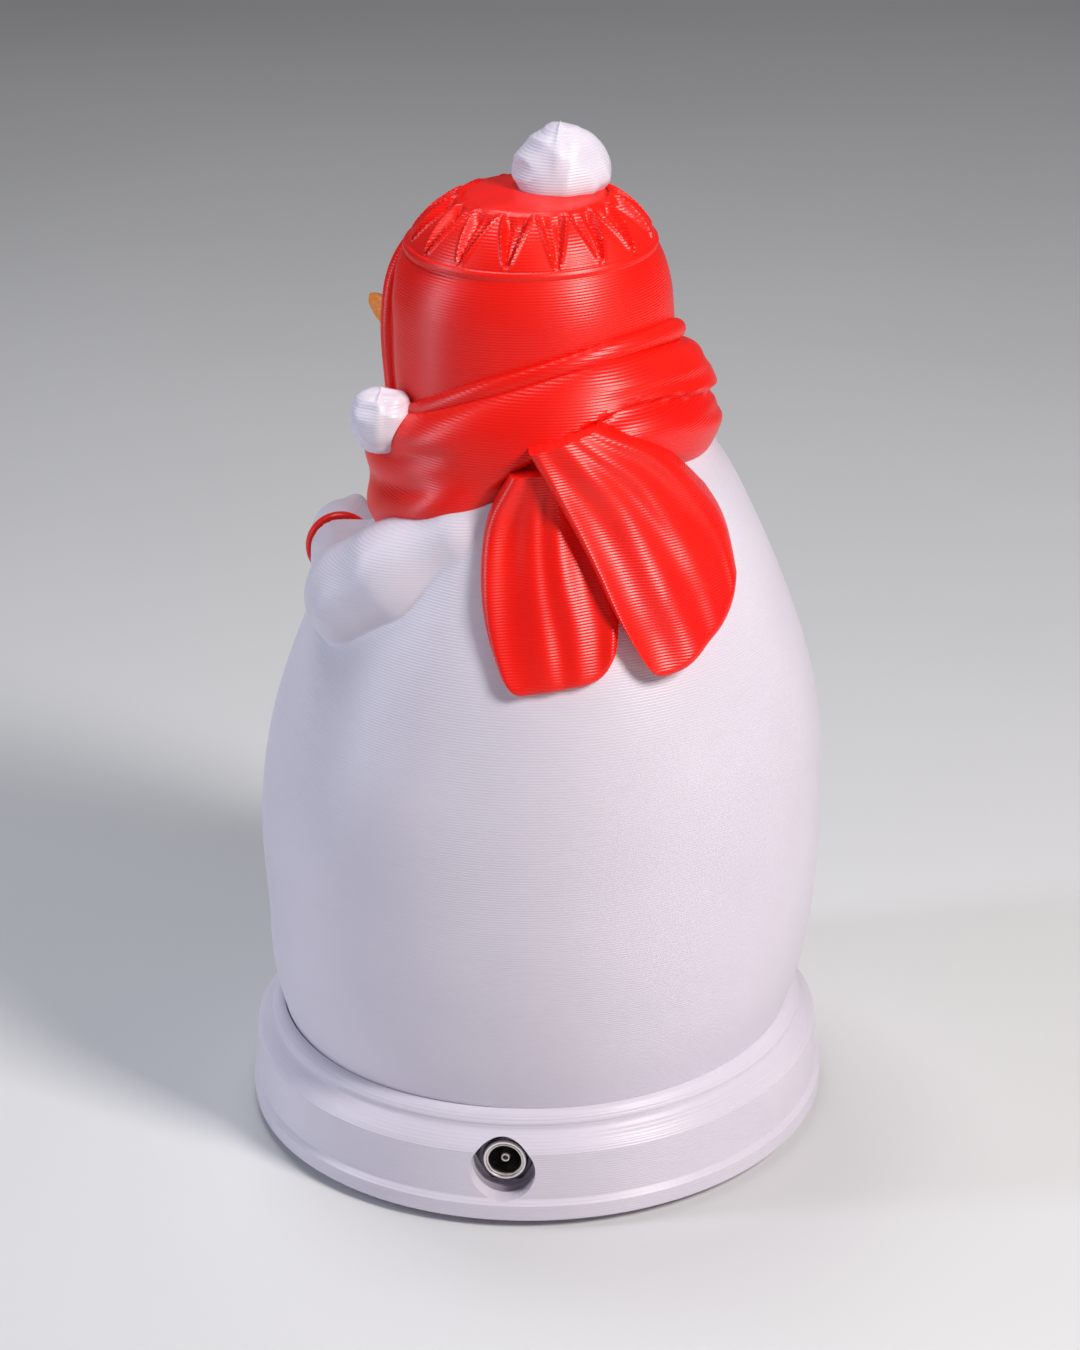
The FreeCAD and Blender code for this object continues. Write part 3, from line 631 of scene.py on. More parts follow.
def button_place(z):
    radius, back = section_at(BODY_SECTIONS, np.array([z - 1, z, z + 1]))
    front = back - radius
    way = np.array([0, -2.0, -(front[2] - front[0])])
    way /= np.linalg.norm(way)
    return np.array([0, front[1], z]), way


coal_lumps("belly_buttons", [button_place(z) for z in (90.0, 77.0, 64.0)], 3.0, 1.9, "coat_buttons", 33)


def make_nose():
    """Carrot with uneven rings, sagging in its middle and turned up at its tip."""
    box_low = low("carrot_nose")
    root = np.array([0.0, HEAD_C[1] - HEAD_R + 2.4, HEAD_C[2] - 2.0])
    tip = np.array([0.0, box_low[1] - 0.6, 151.2])
    path_points = [root, root * 0.6 + tip * 0.4 + [0, 0, -1.3], root * 0.22 + tip * 0.78 + [0, 0, -1.9], tip]
    rings = 70
    s = np.linspace(0, 1, rings)
    path = bend_through(path_points, s)
    thick = curve_through([0, 0.15, 0.5, 0.85, 0.96, 1.0], [4.2, 4.2, 3.3, 1.9, 1.1, 0.25], s)
    for centre, depth in ((0.16, 0.25), (0.27, 0.16), (0.38, 0.22), (0.52, 0.14), (0.64, 0.18), (0.76, 0.12)):
        thick = thick - depth * np.exp(-((s - centre) / 0.018) ** 2)
    ahead = np.gradient(path, axis=0)
    ahead /= np.linalg.norm(ahead, axis=1)[:, None]
    side = np.array([1.0, 0, 0])
    up = np.cross(side, ahead)
    turn = np.linspace(0, 2 * math.pi, 40, endpoint=False)
    ring = (np.cos(turn)[None, :, None] * side + np.sin(turn)[None, :, None] * up[:, None, :])
    points = path[:, None, :] + thick[:, None, None] * ring
    points = points + 0.10 * lumps(points, 5.0, 41)[..., None] * ring
    flat = points.reshape(-1, 3)
    faces = grid_faces(rings, 40, wrap_columns=True)
    faces.append(list(range(40))[::-1])
    faces.append([(rings - 1) * 40 + c for c in range(40)])
    return outwards(make_piece("carrot_skin", flat, faces, "figure", ORANGE, ["carrot_nose"]))


make_nose()

# ---- hat -----------------------------------------------------------------------------------


def hat_point(angle, z, inset=0.0):
    radius, back = section_at(HAT_SECTIONS, z)
    return np.stack([(radius - inset) * np.cos(angle), back + (radius - inset) * np.sin(angle), z], axis=-1)


def brim_z(angle):
    """Height of the hat's lower edge at an angle round it."""
    radius = 25.3
    return BRIM_Z + math.tan(BRIM_TILT) * radius * np.sin(angle)


def face_half_angle(z):
    """Half of the angle that the face opening takes at a height."""
    radius, _ = section_at(HAT_SECTIONS, z)
    above = np.clip((z - FACE_SPRING_Z) / FACE_HALF_W, 0, 1)
    return np.arcsin(np.clip(FACE_HALF_W * np.sqrt(1 - above ** 2) / radius, 0, 1))


def make_hat_wall():
    """Smooth side of the hat between the rolled brim and the pleats' ridge."""
    columns = 260
    rows = 90
    across = np.linspace(0, 1, columns)
    up = np.linspace(0, 1, rows)
    v, u = np.meshgrid(up, across, indexing="ij")
    z = 140.0 + v * (RIDGE_Z - 140.0)
    for _ in range(3):
        opening = face_half_angle(z)
        angle = -math.pi / 2 + opening + u * (2 * math.pi - 2 * opening)
        bottom = brim_z(angle)
        z = bottom + (RIDGE_Z - bottom) * v
    places = np.stack([angle * 6, z * 0.1, np.zeros_like(z)], -1)
    soft = 0.35 * smoothstep(z, 150, 168) * lumps(places, 9.0, 51)
    from_hem = np.minimum(u, 1 - u) * (2 * math.pi - 2 * opening) * HAT_SECTIONS[2, 1]
    drawn_in = HEM_DRAW * np.exp(-((from_hem - 5.0) / 5.0) ** 2) * (1 - smoothstep(z, 162.0, RIDGE_Z))
    outer = hat_point(angle, z, drawn_in - 0.12 * soft)
    inner = hat_point(angle, z - HAT_WALL * smoothstep(v, 0.9, 1.0), HAT_WALL)
    points, faces = closed_slab(outer, inner)
    return outwards(make_piece("hat_wall", points, faces, "figure", RED, ["hat_shell"],
                               sharp=40))


def make_hat_roll():
    """One rolled edge round the hat's opening: brim at the back, hem beside the face."""
    low_angle = -math.pi / 2 + face_half_angle(np.array(140.0))
    bottom = np.linspace(low_angle, math.pi - low_angle, 300)
    lower = np.stack([bottom, brim_z(bottom)], axis=1)
    start_z = lower[-1, 1]
    climb = np.linspace(start_z, 170.6, 90)[1:]
    rising = np.stack([1.5 * math.pi - face_half_angle(climb), climb], axis=1)
    falling = np.stack([-math.pi / 2 + face_half_angle(climb[::-1]), climb[::-1]], axis=1)
    track = np.concatenate([lower, rising, falling])
    positions = hat_point(track[:, 0], track[:, 1], 0.9)
    outward = np.stack([np.cos(track[:, 0]), np.sin(track[:, 0]), 0 * track[:, 0]], axis=1)
    steps = np.linalg.norm(np.roll(positions, -1, axis=0) - positions, axis=1)
    length = np.concatenate([[0], np.cumsum(steps)[:-1]])
    total = steps.sum()
    count = 420
    at = np.linspace(0, total, count, endpoint=False)
    knots = np.append(length, total)
    path = np.stack([np.interp(at, knots, np.append(positions[:, k], positions[0, k])) for k in range(3)], 1)
    out = np.stack([np.interp(at, knots, np.append(outward[:, k], outward[0, k])) for k in range(3)], 1)
    back_share = np.interp(at, knots, np.append(np.where(np.arange(len(track)) < 300, 1.0, 0.0), 1.0))
    for _ in range(14):
        path = 0.5 * path + 0.25 * (np.roll(path, 1, axis=0) + np.roll(path, -1, axis=0))
        out = 0.5 * out + 0.25 * (np.roll(out, 1, axis=0) + np.roll(out, -1, axis=0))
        back_share = 0.5 * back_share + 0.25 * (np.roll(back_share, 1) + np.roll(back_share, -1))
    radii = HEM_ROLL_R + (BRIM_ROLL_R - HEM_ROLL_R) * back_share
    radii = radii * (1 + 0.05 * lumps(path, 13.0, 61))
    path = path + out * (1.3 * back_share - 0.25)[:, None]
    points = swept_tube(path, radii, out, 20)
    faces = grid_faces(count, 20, wrap_rows=True, wrap_columns=True)
    return outwards(make_piece("hat_roll", points, faces, "figure", RED, ["hat_brim_roll"]))


def make_pleats():
    """Ring of folded triangles that gathers the hat's side into the crown disc."""
    columns = PLEATS * 28
    rows = 36
    angle = np.linspace(0, 2 * math.pi, columns, endpoint=False)
    s = np.linspace(0, 1, rows)
    t, a = np.meshgrid(s, angle, indexing="ij")
    random = np.random.default_rng(71)
    shift = random.uniform(-0.10, 0.10, PLEATS)
    depth = random.uniform(0.75, 1.15, PLEATS)
    pitch = 2 * math.pi / PLEATS
    number = np.floor(a / pitch).astype(int) % PLEATS
    local = (a / pitch) % 1.0 - 0.5 - shift[number]
    open_w = 0.47 * (1 - 0.97 * t) + 0.01
    inside = 1 - np.clip(np.abs(local) / open_w, 0, 1)
    hollow = smoothstep(t, 0.0, 0.3) * (1 - 0.5 * t)
    pocket = PLEAT_DEPTH * depth[number] * np.minimum(inside * 2.2, 1) * hollow
    crease = 0.55 * np.clip(inside * 2 - 1, 0, 1) * hollow
    lip = 0.40 * np.exp(-((np.abs(local) - open_w) / 0.045) ** 2) * smoothstep(t, 0.0, 0.12)
    fade = 1 - smoothstep(t, 0.88, 1.0)
    ridge_r, ridge_back = 21.7, 3.3
    start_r = DISC_R - 0.1
    start_z = DISC_LOW_Z + 1.15
    radius = start_r + (ridge_r - start_r) * t
    back = DISC_BACK + (ridge_back - DISC_BACK) * t
    z = start_z + (RIDGE_Z - 0.1 - start_z) * t
    slope = np.array([RIDGE_Z - start_z, ridge_r - start_r])
    normal = np.array([-slope[0], slope[1]]) / np.linalg.norm(slope)
    bulge = 1.1 * np.sin(math.pi * t) ** 0.8
    lift = bulge + (lip - pocket + crease) * fade
    radius = radius + lift * normal[0]
    z = z + lift * normal[1]
    lip_rows = np.array([(22.15, 171.0), (22.45, 170.6), (22.55, 170.1), (22.35, 169.6), (21.4, 169.2)])
    radius = np.concatenate([radius, np.repeat(lip_rows[:, :1], columns, axis=1)])
    z = np.concatenate([z, np.repeat(lip_rows[:, 1:], columns, axis=1)])
    back = np.concatenate([back, np.full((len(lip_rows), columns), ridge_back - 0.3)])
    a = np.concatenate([a, a[:len(lip_rows)]])
    outer = np.stack([radius * np.cos(a), back + radius * np.sin(a), z], axis=-1)
    plug = outer[0].copy()
    plug[:, :2] = (plug[:, :2] - [0, DISC_BACK]) * 0.8 + [0, DISC_BACK]
    plug[:, 2] = RIDGE_Z - 1.2
    points = np.concatenate([plug[None], outer])
    faces = grid_faces(len(points), columns, wrap_rows=True, wrap_columns=True)
    return outwards(make_piece("hat_pleats", points, faces, "figure", RED,
                               ["hat_crown_gathers"], sharp=38))


def make_crown_disc():
    """Slightly domed disc with a soft rim, a little uneven like the sewn cap it copies."""
    profile = [(0.02, 2.05), (3.0, 2.05), (6.0, 1.9), (9.0, 1.62), (11.2, 1.28), (12.3, 0.98), (12.75, 0.62),
               (12.8, 0.2), (12.6, -0.1), (9.0, -0.3), (0.02, -0.3)]
    profile = np.array(profile)
    s = np.linspace(0, 1, 60)
    line = bend_through(profile, s)
    turn = np.linspace(0, 2 * math.pi, 120, endpoint=False)
    radius = line[:, 0][:, None] * DISC_R / 12.8 * (1 + 0.012 * np.sin(3 * turn + 0.7)[None, :])
    points = np.stack([radius * np.cos(turn), DISC_BACK + radius * np.sin(turn),
                       np.repeat((DISC_LOW_Z + line[:, 1])[:, None], 120, axis=1)], axis=-1)
    points[..., 2] += 0.10 * lumps(points, 9.0, 73)
    faces = grid_faces(60, 120, wrap_columns=True)
    faces.append(list(range(120))[::-1])
    faces.append([59 * 120 + c for c in range(120)])
    return outwards(make_piece("crown_disc", points, faces, "figure", RED, ["hat_crown_disc"]))


make_hat_wall()
make_hat_roll()
make_pleats()
make_crown_disc()

# ---- pompoms -------------------------------------------------------------------------------

ANGLE_OF_CREASE = math.radians(40.0)


def make_pompom(name, node, shape, seed, rough, shift=(0, 0, 0), grown=1.0):
    """Lumpy fluffy ball, printed as soft facets. The shape gives its half width by height."""
    centre, size = middle(node) + shift, half(node) * grown
    directions, faces = ball_grid(64, 88)
    flat = np.hypot(directions[:, 0], directions[:, 1])
    heights = directions[:, 2]
    widths = curve_through([h for h, _ in shape], [w for _, w in shape], heights)
    scale = np.where(flat > 1e-6, widths / np.maximum(flat, 1e-6), 0)
    points = np.stack([directions[:, 0] * scale, directions[:, 1] * scale, heights], axis=1)
    big = lumps(points + seed, 1.25, seed)
    ridged = 1 - np.abs(lumps(points + seed, 0.95, seed + 1))
    grow = 1 + rough * (0.55 * big + 0.55 * ridged)
    crease = ANGLE_OF_CREASE - np.arctan2(directions[:, 1], directions[:, 0])
    grow = grow + 0.05 * np.exp(-(crease / 0.13) ** 2) * smoothstep(heights, -0.5, 0.2)
    points = points * grow[:, None] / (1 + rough * 0.55)
    points = centre + points * size
    return outwards(make_piece(name, points, faces, "figure", WHITE, [node]))


# the pompoms' shapes: height and half width, as parts of their own half sizes
TOP_SHAPE = [(-1.0, 0.86), (-0.7, 1.0), (-0.35, 1.0), (0.1, 0.86), (0.45, 0.68), (0.75, 0.46),
             (0.93, 0.24), (1.0, 0.0)]
EAR_SHAPE = [(-1.0, 0.0), (-0.85, 0.52), (-0.5, 0.87), (0.0, 1.0), (0.5, 0.87), (0.85, 0.52), (1.0, 0.0)]
make_pompom("top_pompom_skin", "top_pompom", TOP_SHAPE, 81, 0.08, (0, 0, -0.5), 1.1)
make_pompom("ear_pompom_left_skin", "ear_pompom_left", EAR_SHAPE, 83, 0.07, (-1.8, 0.2, 1.2))
make_pompom("ear_pompom_right_skin", "ear_pompom_right", EAR_SHAPE, 85, 0.07, (1.8, 0.2, 1.2))

# ---- scarf ---------------------------------------------------------------------------------


def scarf_place(turn, radius, height):
    """From the scarf's own tilted frame to the part's frame."""
    x = radius * np.cos(turn)
    y = radius * np.sin(turn)
    tilted_y = y * math.cos(SCARF_TILT) - height * math.sin(SCARF_TILT)
    tilted_z = y * math.sin(SCARF_TILT) + height * math.cos(SCARF_TILT)
    return np.stack([x, tilted_y, tilted_z], axis=-1) + SCARF_C


# how far the scarf reaches above and below its middle plane: degrees, up, down
SCARF_REACH = [
    (-60.0, 10.2, 13.4), (-42.0, 10.4, 14.4), (-20.0, 9.2, 15.2), (0.0, 8.4, 14.8), (16.0, 8.8, 12.8),
    (32.0, 10.0, 10.0), (50.0, 11.4, 9.6), (72.0, 12.4, 9.8), (105.0, 11.6, 11.0),
    (140.0, 9.6, 11.0), (180.0, 8.8, 13.0), (222.0, 10.4, 14.4), (240.0, 10.2, 13.4),
    (300.0, 10.2, 13.4),
]
# line where the upper turn of the scarf lies over the lower one: angle in degrees, height
LAP_LINE = [(18.0, -8.5), (35.0, -4.5), (55.0, 0.0), (75.0, 2.5), (110.0, 1.0), (150.0, -0.5),
            (190.0, 1.0), (230.0, 3.0), (260.0, 6.0), (285.0, 8.5)]
# softer folds: start and end as (degrees, height), depth and half width
FOLDS = [
    ((62.0, 5.0), (128.0, 3.6), 0.55, 1.1),
    ((-32.0, 3.4), (22.0, 0.4), 0.60, 1.5),
    ((-40.0, -2.6), (14.0, -5.0), 0.45, 1.3),
    ((100.0, -2.8), (165.0, -4.6), 0.55, 1.3),
    ((120.0, 5.6), (215.0, 4.2), 0.50, 1.2),
    ((175.0, -3.4), (262.0, -0.8), 0.60, 1.3),
    ((232.0, -5.2), (318.0, -1.8), 0.60, 1.4),
    ((250.0, 1.4), (330.0, 4.6), 0.60, 1.3),
]


def make_scarf_wrap():
    columns = 420
    rows = 110
    turn = np.linspace(0, 2 * math.pi, columns, endpoint=False)
    section = np.linspace(0, 2 * math.pi, rows, endpoint=False)
    a, b = np.meshgrid(turn, section, indexing="ij")
    degrees = (np.degrees(a) + 60.0) % 360.0 - 60.0
    out = np.cos(b)
    marks = [p[0] for p in SCARF_REACH]
    up = curve_through(marks, [p[1] for p in SCARF_REACH], degrees)
    down = curve_through(marks, [p[2] for p in SCARF_REACH], degrees)
    height = np.where(np.sin(b) > 0, up, down) * np.sign(np.sin(b)) * np.abs(np.sin(b)) ** 0.92
    width = SCARF_HALF_W * np.sign(out) * np.abs(out) ** 0.80
    outer = smoothstep(out, -0.05, 0.35)
    lap = curve_through([p[0] for p in LAP_LINE], [p[1] for p in LAP_LINE], degrees)
    strength = smoothstep(degrees, 22.0, 44.0) * (1 - smoothstep(degrees, 235.0, 275.0))
    gap = height - lap
    groove = np.where(gap < 0, np.exp(-(gap / 2.1) ** 2), np.exp(-(gap / 0.55) ** 2))
    proud = smoothstep(gap, 0.0, 0.8) * np.exp(-np.maximum(gap, 0) / 5.0)
    lift = strength * (-1.55 * groove + 0.7 * proud + 0.9 * np.exp(-((gap + 5.2) / 2.6) ** 2))
    for (start_a, start_h), (end_a, end_h), depth, half_width in FOLDS:
        share = (degrees - start_a) / (end_a - start_a)
        line = start_h + (end_h - start_h) * share
        there = smoothstep(share, 0.0, 0.3) * (1 - smoothstep(share, 0.7, 1.0))
        off = height - line
        lift = lift + there * depth * (-np.exp(-(off / half_width) ** 2)
                                       + 0.5 * np.exp(-((off - 1.9 * half_width) / (1.2 * half_width)) ** 2))
    place = np.stack([np.cos(a) * 30, np.sin(a) * 30, height], axis=-1)
    lift = lift + 0.18 * lumps(place, 17.0, 91)
    sag = 0.5 * lumps(place * np.array([1, 1, 0.2]), 34.0, 92)
    hang = 2.6 * smoothstep(down, 10.5, 15.0) * smoothstep(-height, 2.0, 9.0) * outer
    radius = SCARF_R + width + lift * outer + hang
    points = scarf_place(a, radius, height + sag * 0.6)
    faces = grid_faces(columns, rows, wrap_rows=True, wrap_columns=True)
    return outwards(make_piece("scarf_folds", points, faces, "figure", RED, ["scarf_wrap"],
                               sharp=60))


make_scarf_wrap()

# outlines of the scarf's two ends, sideways and up, seen square on from their side
LOWER_END = {
    "left": [(-2.2, 139.0), (-6.4, 130.6), (-7.7, 121.5), (-6.9, 112.9), (-5.0, 106.4)],
    "bottom": [(-5.0, 106.4), (-2.6, 103.7), (2.2, 104.0), (7.2, 104.7), (12.6, 105.9), (16.2, 109.6)],
    "right": [(9.5, 140.0), (11.6, 131.0), (13.6, 124.0), (16.0, 117.0), (16.2, 109.6)],
    "ridges": [0.05, 0.43, 0.64, 0.96], "thick": (3.3, 3.0), "valleys": [0.95, 0.45, 0.85],
}
UPPER_END = {
    "left": [(1.0, 143.6), (6.4, 134.0), (11.4, 124.4), (15.4, 116.0), (19.3, 109.4)],
    "bottom": [(19.3, 109.4), (22.7, 105.4), (27.0, 105.8), (31.4, 108.7), (35.6, 112.4), (38.0, 117.0)],
    "right": [(13.0, 146.9), (23.4, 141.0), (30.8, 132.2), (35.2, 125.4), (38.0, 117.0)],
    "ridges": [0.06, 0.50, 0.72, 0.98], "thick": (6.1, 4.6), "valleys": [1.15, 0.5, 0.8],
}
SLAB_ROUND = 1.7


def end_outline(shape, s, t):
    """Coons patch between the outline's sides and its lower edge."""
    left = bend_through(shape["left"], s)
    right = bend_through(shape["right"], s)
    bottom = bend_through(shape["bottom"], t)
    top_left, top_right = np.array(shape["left"][0]), np.array(shape["right"][0])
    top = top_left + (top_right - top_left) * t[..., None]
    low_left, low_right = np.array(shape["left"][-1]), np.array(shape["right"][-1])
    across = left * (1 - t[..., None]) + right * t[..., None]
    along = top * (1 - s[..., None]) + bottom * s[..., None]
    corners = (1 - s[..., None]) * top + s[..., None] * (low_left + (low_right - low_left) * t[..., None])
    return across + along - corners


def on_drape(flat, height):
    """Where a point of a scarf end lies over the body, that height above it."""
    sideways, z = flat[..., 0], flat[..., 1]
    radius, back = section_at(DRAPE_SECTIONS, z)
    back_side = back * math.cos(TAIL_HEADING)
    back_out = back * math.sin(TAIL_HEADING)
    out = back_out + np.sqrt(np.maximum((radius + height) ** 2 - (sideways - back_side) ** 2, 1.0))
    x = -sideways * math.sin(TAIL_HEADING) + out * math.cos(TAIL_HEADING)
    y = sideways * math.cos(TAIL_HEADING) + out * math.sin(TAIL_HEADING)
    return np.stack([x, y, z], axis=-1)


def make_scarf_end(name, node, shape, seed):
    """Thick soft slab with long ridges and rounded sides."""
    rows, columns = 120, 96
    ease = np.linspace(0, 1, columns)
    ease = ease - 0.10 * np.sin(4 * math.pi * ease) / 2
    s, t = np.meshgrid(np.linspace(0, 1, rows) ** 0.9, ease, indexing="ij")
    sideways = 2 * t - 1
    down = s * np.sqrt(1 - 0.08 * sideways ** 6)
    across = 0.5 + 0.5 * sideways * np.sqrt(1 - 0.2 * s ** 6)
    flat = end_outline(shape, down, across)
    span = np.linalg.norm(flat[:, -1] - flat[:, 0], axis=1)[:, None]
    length = np.linalg.norm(np.diff(flat, axis=0), axis=2).sum(axis=0)[None, :]
    sides = np.minimum(t, 1 - t) * span
    ends = (1 - s) * length
    near = np.minimum(sides, ends)
    edge = np.sqrt(np.clip(1 - (1 - np.clip(near / SLAB_ROUND, 0, 1)) ** 2, 0, 1))
    thick = (shape["thick"][0] * (1 - t) + shape["thick"][1] * t) * (1 - 0.2 * smoothstep(s, 0.4, 1.0))
    lines = shape["ridges"]
    between = np.interp(t, lines, np.arange(len(lines)))
    depths = np.array(shape["valleys"])[np.clip(between.astype(int), 0, len(lines) - 2)]
    valley = depths * np.sin(math.pi * between) ** 2
    reach = 0.35 + 0.65 * smoothstep(s, 0.0, 0.25)
    calm = 1 - 0.45 * smoothstep(s, 0.80, 1.0)
    height = thick - valley * reach * calm
    height = height + 0.25 * lumps(np.stack([flat[..., 0], flat[..., 1], np.zeros_like(s)], -1), 12.0, seed)
    wall = 0.62
    top = on_drape(flat, height * (wall + (1 - wall) * edge))
    under = on_drape(flat, np.full_like(height, -0.6))
    points, faces = closed_slab(top, under)
    return outwards(make_piece(name, points, faces, "figure", RED, [node], sharp=50))


make_scarf_end("scarf_end_lower", "scarf_tail_lower", LOWER_END, 95)
make_scarf_end("scarf_end_upper", "scarf_tail_upper", UPPER_END, 96)

# ---- power inlet ---------------------------------------------------------------------------

SOCKET_ANGLE = math.radians(39.0)
SOCKET_OUT = np.array([math.cos(SOCKET_ANGLE), math.sin(SOCKET_ANGLE), 0.0])
SOCKET_SIDE = np.array([-math.sin(SOCKET_ANGLE), math.cos(SOCKET_ANGLE), 0.0])
SOCKET_UP = np.array([0.0, 0.0, 1.0])
SOCKET_Z = middle("dc_jack_pin")[2]
SOCKET_FACE = 50.0            # front of the inlet's barrel, from the lamp's axis
BARREL_R = 4.0
NUT_HALF = 4.90               # half the nut's width over its flats


def turned_part(name, node, material, profile, sharp):
    """Round part from its closed profile of radii and distances from the lamp's axis."""
    profile = np.array(profile)
    columns = 96
    turn = np.linspace(0, 2 * math.pi, columns, endpoint=False)
    ring = np.cos(turn)[None, :, None] * SOCKET_SIDE + np.sin(turn)[None, :, None] * SOCKET_UP
    points = profile[:, 1][:, None, None] * SOCKET_OUT + profile[:, 0][:, None, None] * ring
    points = points + np.array([0, 0, SOCKET_Z])
    faces = grid_faces(len(profile), columns, wrap_rows=True, wrap_columns=True)
    return outwards(make_piece(name, points, faces, "base", material, [node], sharp=sharp))


def make_barrel():
    """Threaded barrel with a rounded lip and a step inside its mouth."""
    face = SOCKET_FACE
    profile = [(2.85, face - 1.6), (2.85, face - 9.4), (0.3, face - 9.5), (0.3, face - 11.4),
               (BARREL_R, face - 11.4)]
    for thread in np.arange(face - 11.2, face - 1.0, 0.75):
        profile += [(BARREL_R - 0.38, thread), (BARREL_R, thread + 0.375)]
    profile += [(3.98, face - 0.45), (3.94, face - 0.16), (3.84, face - 0.02), (3.50, face - 0.02),
                (3.42, face - 0.12), (3.38, face - 0.42), (3.28, face - 0.42), (3.22, face - 0.16),
                (3.06, face - 0.12), (2.94, face - 0.30), (2.86, face - 0.9)]
    return turned_part("inlet_barrel", "dc_jack_barrel", NICKEL, profile, 35)


def make_pin():
    """Centre contact with a rounded, hollow tip."""
    tip = SOCKET_FACE - 0.9
    profile = [(0.01, SOCKET_FACE - 9.4), (0.92, SOCKET_FACE - 9.4), (0.92, tip - 0.5), (0.86, tip - 0.2),
               (0.70, tip), (0.56, tip - 0.02), (0.46, tip - 0.2), (0.42, tip - 2.4), (0.01, tip - 2.5)]
    return turned_part("inlet_pin", "dc_jack_pin", NICKEL, profile, 50)


def make_nut():
    """Hexagon nut, chamfered to a circle in front."""
    columns = 144
    turn = np.linspace(0, 2 * math.pi, columns, endpoint=False)
    to_flat = (turn + math.pi / 6) % (math.pi / 3) - math.pi / 6
    hexagon = NUT_HALF / np.cos(to_flat)
    back, front = 47.7, SOCKET_FACE - 1.3
    even = np.ones(columns)
    rings = [
        ((BARREL_R + 0.1) * even, back * even), (hexagon, back * even),
        (hexagon, front - 0.3 - 0.58 * (hexagon - NUT_HALF)),
        (np.minimum(hexagon, NUT_HALF + 0.08), front - 0.2 * even),
        ((NUT_HALF - 0.12) * even, front * even), (4.2 * even, front * even),
        ((BARREL_R + 0.1) * even, (front - 0.25) * even),
    ]
    radius = np.array([r for r, _ in rings])
    out = np.array([o for _, o in rings])
    points = (out[..., None] * SOCKET_OUT + (radius * np.cos(turn))[..., None] * SOCKET_UP
              + (radius * np.sin(turn))[..., None] * SOCKET_SIDE) + np.array([0, 0, SOCKET_Z])
    faces = grid_faces(len(rings), columns, wrap_rows=True, wrap_columns=True)
    return outwards(make_piece("inlet_nut", points, faces, "base", DARK_NUT, ["dc_jack_nut"],
                               sharp=20))


make_barrel()
make_pin()
make_nut()

# ---- stage, lights and camera --------------------------------------------------------------


def make_floor():
    points = [(-6000, -6000, 0), (6000, -6000, 0), (6000, 6000, 0), (-6000, 6000, 0)]
    mesh = bpy.data.meshes.new("floor")
    mesh.from_pydata([(x * MM, y * MM, z) for x, y, z in points], [], [[0, 1, 2, 3]])
    mesh.materials.append(plain_material("floor", (0.74, 0.74, 0.75), 0.6, grain=3.0, depth=0.0001 * MM,
                                         spread=0.01))
    floor = bpy.data.objects.new("floor", mesh)
    bpy.context.scene.collection.objects.link(floor)


def aim(thing, target):
    way = Vector(target) - thing.location
    thing.rotation_mode = "QUATERNION"
    thing.rotation_quaternion = way.to_track_quat("-Z", "Y")


VIEW_ANGLE = math.radians(46.0)         # the camera's side of the lamp, from +X towards +Y
TO_CAMERA = np.array([math.cos(VIEW_ANGLE), math.sin(VIEW_ANGLE), 0.0])
TO_RIGHT = np.array([-math.sin(VIEW_ANGLE), math.cos(VIEW_ANGLE), 0.0])
LOOK_AT = (0.0, 0.0, 0.1)


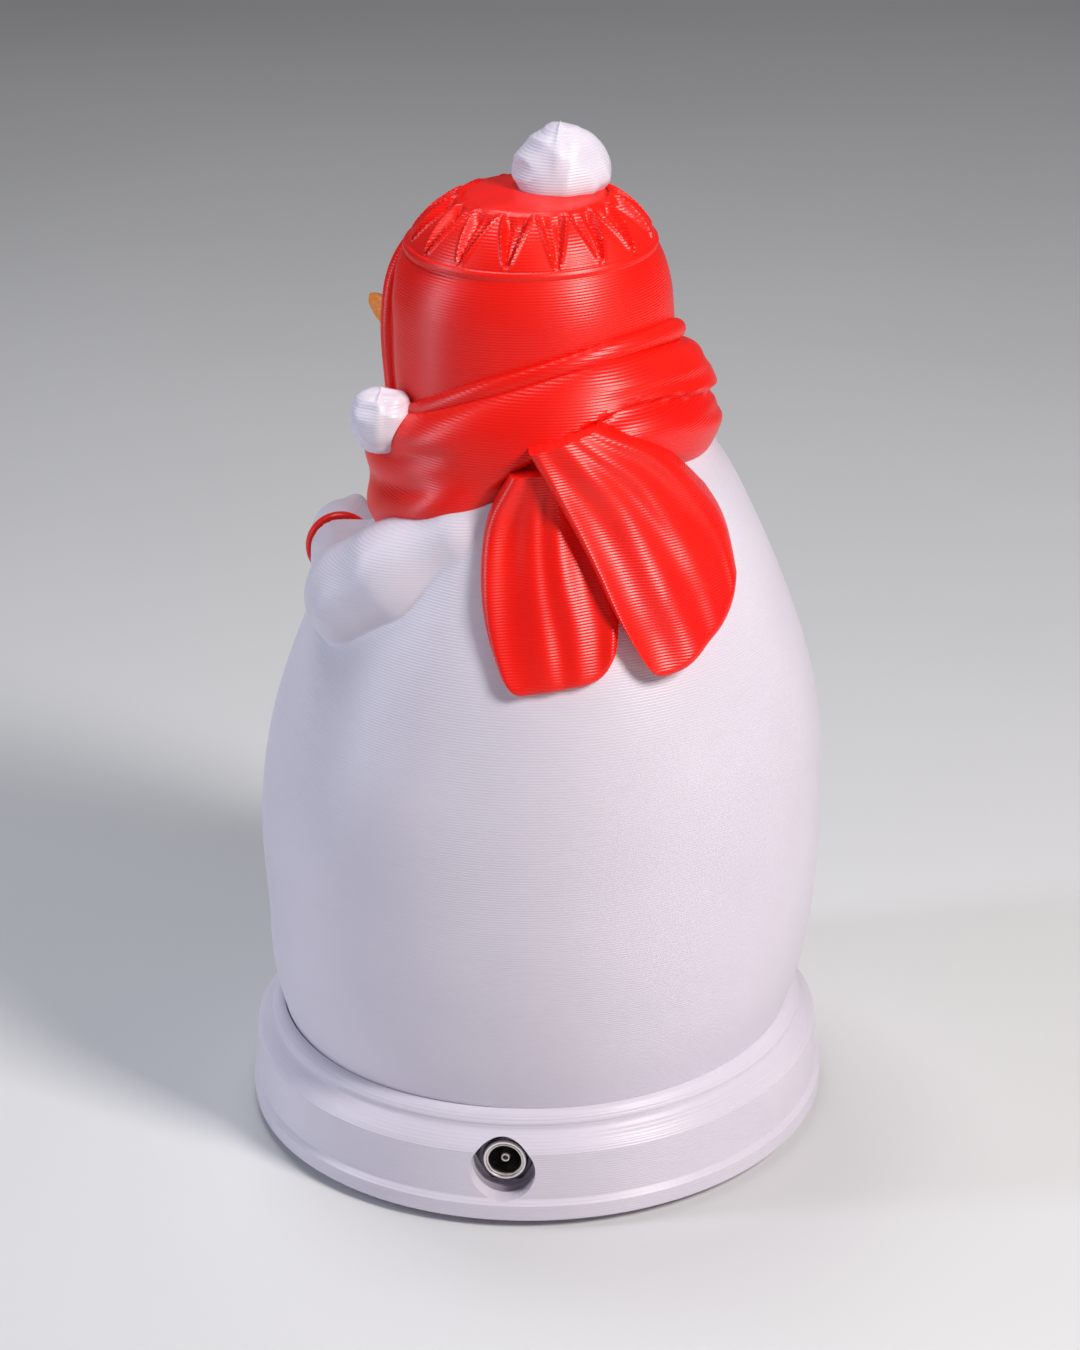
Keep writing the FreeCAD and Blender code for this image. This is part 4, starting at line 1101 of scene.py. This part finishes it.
def area_light(name, right, near, up, width, height, power, colour):
    """Softbox at a place given to the camera's right, towards the camera and up, in metres."""
    data = bpy.data.lights.new(name, "AREA")
    data.shape = "RECTANGLE"
    data.size = width
    data.size_y = height
    data.energy = power
    data.color = colour
    light = bpy.data.objects.new(name, data)
    light.location = Vector(TO_RIGHT * right + TO_CAMERA * near) + Vector((0, 0, up))
    aim(light, LOOK_AT)
    bpy.context.scene.collection.objects.link(light)


def make_lights():
    area_light("key", 0.46, 0.42, 0.60, 0.16, 0.26, 6.0, (1.0, 0.95, 0.91))
    area_light("cool_left", -0.72, 0.10, 0.34, 0.10, 0.62, 2.3, (0.76, 0.84, 1.0))
    area_light("top", -0.10, -0.20, 0.85, 0.3, 0.3, 2.2, (0.97, 0.98, 1.0))
    world = bpy.data.worlds.new("studio")
    world.use_nodes = True
    background = world.node_tree.nodes["Background"]
    background.inputs["Color"].default_value = (0.86, 0.88, 0.93, 1)
    background.inputs["Strength"].default_value = 0.09
    bpy.context.scene.world = world


CAMERA_DISTANCE = 0.600
CAMERA_RIGHT = 0.00214
CAMERA_HEIGHT = 0.3517
CAMERA_PITCH = math.radians(23.91)
CAMERA_ROLL = math.radians(-1.19)
CAMERA_LENS = 94.13                     # for 36 mm along the picture's long side


def make_camera():
    data = bpy.data.cameras.new("camera")
    data.sensor_width = 36.0
    data.lens = CAMERA_LENS
    camera = bpy.data.objects.new("camera", data)
    away = Vector(-TO_CAMERA)
    right = Vector(TO_RIGHT)
    camera.location = Vector(TO_CAMERA * CAMERA_DISTANCE) + right * CAMERA_RIGHT
    camera.location.z += CAMERA_HEIGHT
    ahead = away * math.cos(CAMERA_PITCH) - Vector((0, 0, 1)) * math.sin(CAMERA_PITCH)
    level_up = away * math.sin(CAMERA_PITCH) + Vector((0, 0, 1)) * math.cos(CAMERA_PITCH)
    rolled_right = right * math.cos(CAMERA_ROLL) + level_up * math.sin(CAMERA_ROLL)
    rolled_up = level_up * math.cos(CAMERA_ROLL) - right * math.sin(CAMERA_ROLL)
    turn = [[rolled_right[k], rolled_up[k], -ahead[k]] for k in range(3)]
    camera.rotation_mode = "QUATERNION"
    camera.rotation_quaternion = Matrix(turn).to_quaternion()
    data.clip_start = 0.01
    data.clip_end = 30.0
    bpy.context.scene.collection.objects.link(camera)
    bpy.context.scene.camera = camera


make_floor()
make_lights()
make_camera()
bpy.context.scene.view_settings.view_transform = "Standard"
